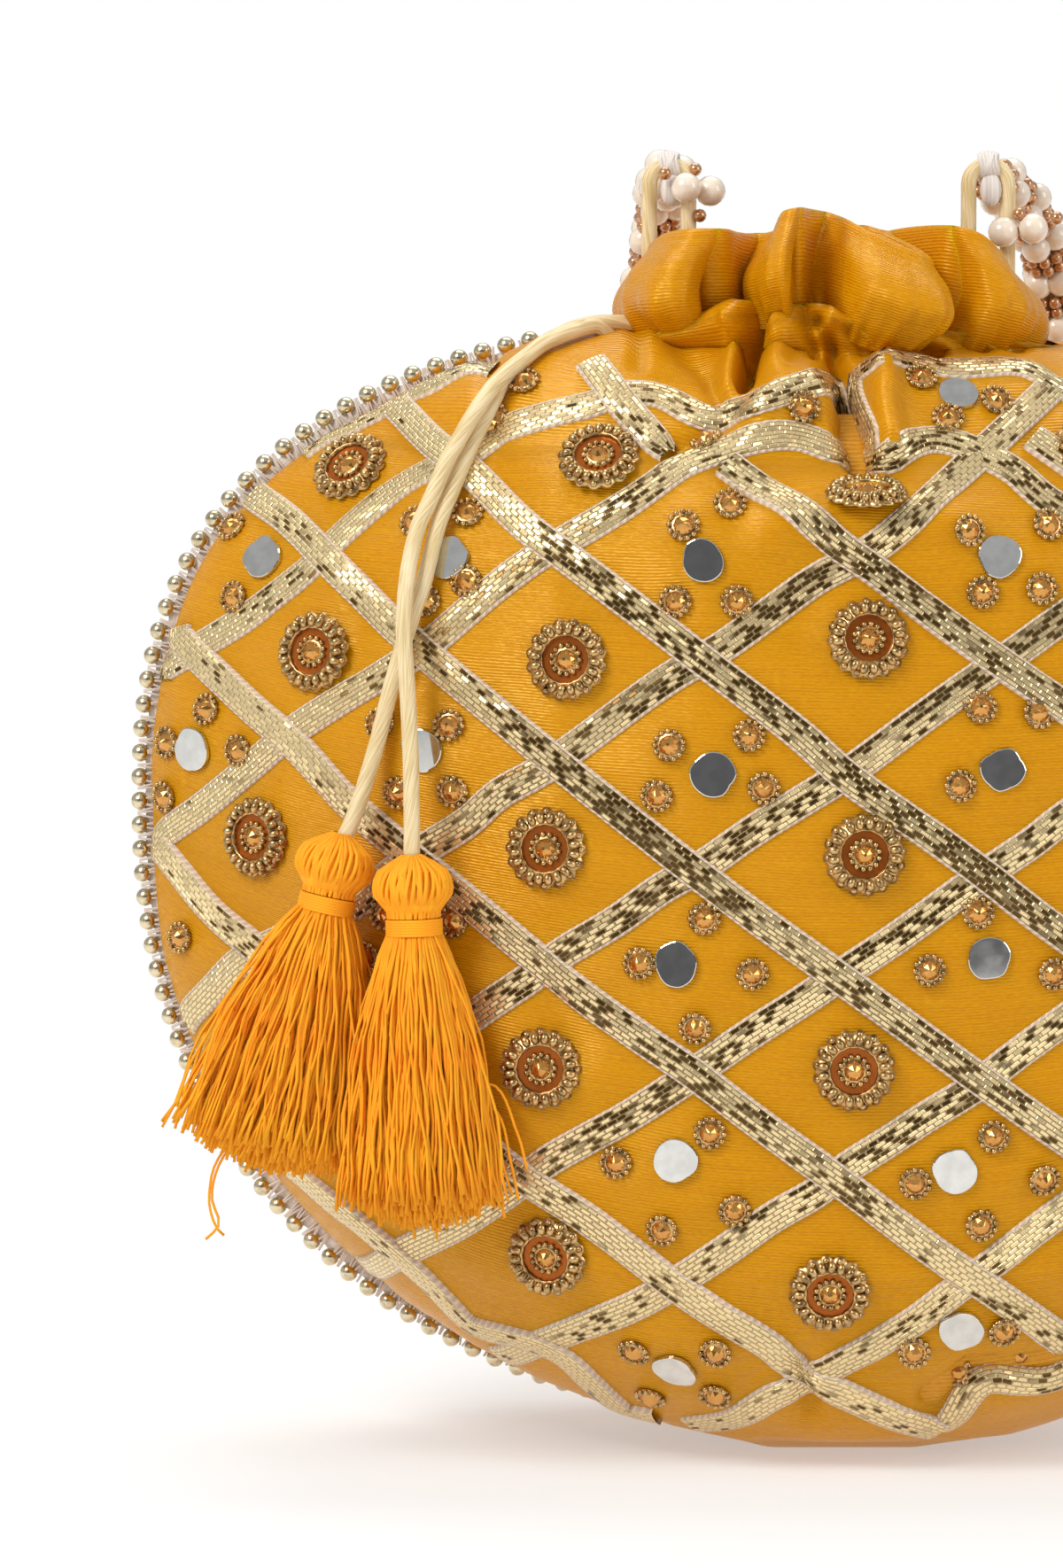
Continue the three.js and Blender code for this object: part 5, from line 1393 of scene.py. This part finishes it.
class POTLI_OT_handle(bpy.types.Operator):
    """Build the cord arches, the bound eyelets and the rope of pearls and seed beads"""

    bl_idname = "potli.handle"
    bl_label = "Handle"

    def execute(self, context):
        half = ARCH_SPAN / 2
        base = ARCH_TOP - half
        leg = [height for height in (ARCH_FOOT + step for step in range(0, 22, 2)) if height < base - 0.5]
        for name, middle in ARCHES.items():
            path = [Vector((middle - half, ARCH_Y, height)) for height in leg]
            for part in range(13):
                turn = math.pi * (1 - part / 12)
                path.append(Vector((middle + half * math.cos(turn), ARCH_Y, base + half * math.sin(turn))))
            path += [Vector((middle + half, ARCH_Y, height)) for height in reversed(leg)]
            shape = tube(path, sizes().cord_diameter * 500, 12, capped=True)
            solo("cord", shape, f"{name}_cord", "cream_cord", name)
        for side in ("left", "right"):
            name = f"handle_eyelet_{side}"
            low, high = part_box(name)
            centre = Vector(((low.x + high.x) * 500, ARCH_Y, ARCH_TOP))
            sheaf = Sheaf("thread")
            for index in range(-3, 4):
                reach = 1.85 + 0.16 * math.cos(index * 0.9)
                ring = circle(centre, Vector((0.0, 1.0, 0.0)), Vector((0.0, 0.0, 1.0)), reach, 30)
                for part, spot in enumerate(ring):
                    spot.x += index * 0.44 + 0.25 * math.sin(math.tau * part / 15 + index + 3)
                sheaf.add(*tube(ring, 0.42, 6, closed=True))
            for slip in circle(Vector(), Vector((1.0, 0.0, 0.0)), Vector((0.0, 0.0, 1.0)), 0.9, 12):
                spots = ((1.2, -1.4, 1.0), (3.2, -2.4, 1.3), (6.4, -2.2, 1.0))
                path = [centre + Vector((0.0, back, rise)) + slip * share for back, rise, share in spots]
                sheaf.add(*tube(curve_through(path, 0.8), 0.36, 5, capped=True))
            place = Matrix.Translation(centre + Vector((0.4, -0.6, -4.2)))
            sheaf.copies(ball(1.0, 12, 8), [place @ Matrix.Diagonal((1.9, 1.8, 2.9, 1.0))])
            sheaf.piece(f"{name}_thread", "white_thread", "handle", (name,))
        line = curve_through(ROPE, 0.5)
        beads = {
            "pearl": (ball(sizes().pearl_diameter * 500, 12, 8), 0, 4, 2.75),
            "seed": (ball(sizes().seed_diameter * 500, 8, 6), 1, 9, 3.15),
        }
        sheaf = Sheaf("pearl", "seed", "cord")
        sheaf.add(*tube(line[::4], 1.2, 8, capped=True), 2)
        side = Vector((1.0, 0.0, 0.0))
        for number in range(int(0.5 * (len(line) - 1) / BEAD_PITCH)):
            for offset, kind in ((2.6, "pearl"), (5.9, "seed"), (7.9, "seed")):
                index = min(len(line) - 2, round((number * BEAD_PITCH + offset) / 0.5))
                forward = (line[index + 1] - line[index - 1]).normalized()
                side = (side - forward * side.dot(forward)).normalized()
                other = forward.cross(side)
                shape, paint, count, reach = beads[kind]
                for bead in range(count):
                    turn = math.tau * bead / count + number * 0.5 + offset
                    spot = line[index] + (side * math.cos(turn) + other * math.sin(turn)) * reach
                    sheaf.copies(shape, [Matrix.Translation(spot)], paint)
        for spot, kind in ARCH_BEADS:
            sheaf.copies(beads[kind][0], [Matrix.Translation(spot)], beads[kind][1])
        sheaf.piece("handle_rope_beads", "pearl", "handle", ("handle_rope",))
        return {"FINISHED"}


def lamp(name, place, energy, size, colour):
    """One area lamp that looks at the middle of the bag. Its place is in metres."""
    light = bpy.data.lights.new(name, "AREA")
    light.energy = energy
    light.color = colour
    light.shape = "RECTANGLE"
    light.size, light.size_y = size
    holder = stand(name, light)
    holder.location = place
    holder.rotation_mode = "QUATERNION"
    holder.rotation_quaternion = (Vector((0.0, 0.0, 0.1)) - Vector(place)).to_track_quat("-Z", "Y")


def sheet(name, corners, paint):
    """One flat face of the stage."""
    mesh = bpy.data.meshes.new(name)
    mesh.from_pydata(corners, [], [(0, 1, 2, 3)])
    mesh.materials.append(paint.owner)
    flat = stand(name, mesh)
    return flat


class POTLI_OT_stage(bpy.types.Operator):
    """Lay the pale floor, partly a painted glow, and set the lamps"""

    bl_idname = "potli.stage"
    bl_label = "Stage"

    def execute(self, context):
        tone = colours().floor
        paint = principled("floor", Base_Color=tone, Roughness=0.6, Specular_IOR_Level=0.1)
        # Painted light: the floor glows, 40 per cent by the bag and fully from 0.7 m out, lifting its shadow
        reach = paint.node("ShaderNodeVectorMath", {"operation": "LENGTH"}, {0: paint.place()}, 1)
        glow = paint.node("ShaderNodeEmission", None, {"Color": tone, "Strength": 1.0})
        share = reach.ramp(0.12, 0.7) * 0.6 + 0.4
        blend = paint.node("ShaderNodeMixShader", None, {0: share, 1: paint.shader, 2: glow})
        paint.feed(paint.output.node.inputs["Surface"], blend)
        sheet("floor", [(-6.0, -6.0, 0), (6.0, -6.0, 0), (6.0, 6.0, 0), (-6.0, 6.0, 0)], paint)
        dark = principled("dark_card", Base_Color=srgb(112, 112, 116), Roughness=0.9)
        corners = [(-1.5, -2.2, -0.2), (1.1, -2.2, -0.2), (1.1, -2.2, 1.15), (-1.5, -2.2, 1.15)]
        card = sheet("dark_card", corners, dark)
        card.visible_shadow = False
        card.visible_diffuse = False
        context.scene.world = bpy.data.worlds.new("world")
        sky = Paint(context.scene.world)
        seen = sky.node("ShaderNodeLightPath", output="Is Camera Ray")
        backdrop = sky.node("ShaderNodeBackground", None, {"Color": tone})
        light = sky.node("ShaderNodeBackground", None, {"Color": (0.95, 0.975, 1.0), "Strength": 0.5})
        mixed = sky.node("ShaderNodeMixShader", None, {0: seen, 1: light, 2: backdrop})
        sky.node("ShaderNodeOutputWorld", None, {"Surface": mixed})
        lamp("key", (-0.75, -0.75, 1.0), 11.5, (0.5, 0.5), (1.0, 0.985, 0.96))
        lamp("side", (0.95, -0.5, 0.55), 3.0, (0.4, 0.6), (1.0, 1.0, 1.0))
        lamp("top", (0.0, 0.35, 1.1), 5.0, (0.9, 0.6), (1.0, 1.0, 1.0))
        context.scene.view_settings.view_transform = "Standard"
        return {"FINISHED"}


class POTLI_PT_panel(bpy.types.Panel):
    """The sizes, colours and builders of the bag"""

    bl_idname = "POTLI_PT_panel"
    bl_label = "Potli bag"
    bl_space_type = "VIEW_3D"
    bl_region_type = "UI"
    bl_category = "Potli bag"

    def draw(self, context):
        for settings in (context.scene.potli_sizes, context.scene.potli_colours):
            box = self.layout.box()
            for name in settings.bl_rna.properties.keys():
                if name not in ("rna_type", "name"):
                    box.prop(settings, name)
        for step in STEPS:
            self.layout.operator(step.bl_idname)


STEPS = (
    POTLI_OT_camera, POTLI_OT_cords, POTLI_OT_cloth, POTLI_OT_frill, POTLI_OT_ribbons, POTLI_OT_edge,
    POTLI_OT_trim, POTLI_OT_handle, POTLI_OT_stage,
)
CLASSES = (PotliSizes, PotliColours, *STEPS, POTLI_PT_panel)


def register():
    for each in CLASSES:
        bpy.utils.register_class(each)
    bpy.types.Scene.potli_sizes = bpy.props.PointerProperty(type=PotliSizes)
    bpy.types.Scene.potli_colours = bpy.props.PointerProperty(type=PotliColours)


def unregister():
    del bpy.types.Scene.potli_sizes
    del bpy.types.Scene.potli_colours
    for each in reversed(CLASSES):
        bpy.utils.unregister_class(each)


def main():
    register()
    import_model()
    low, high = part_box("edge_lace")
    shop["seam"] = (low.y + high.y) * 500
    shop["materials"] = {}
    bpy.ops.potli.camera()
    bpy.ops.potli.cords()
    bpy.ops.potli.cloth()
    bpy.ops.potli.frill()
    bpy.ops.potli.ribbons()
    bpy.ops.potli.edge()
    bpy.ops.potli.trim()
    bpy.ops.potli.handle()
    bpy.ops.potli.stage()


if __name__ == "__main__":
    main()
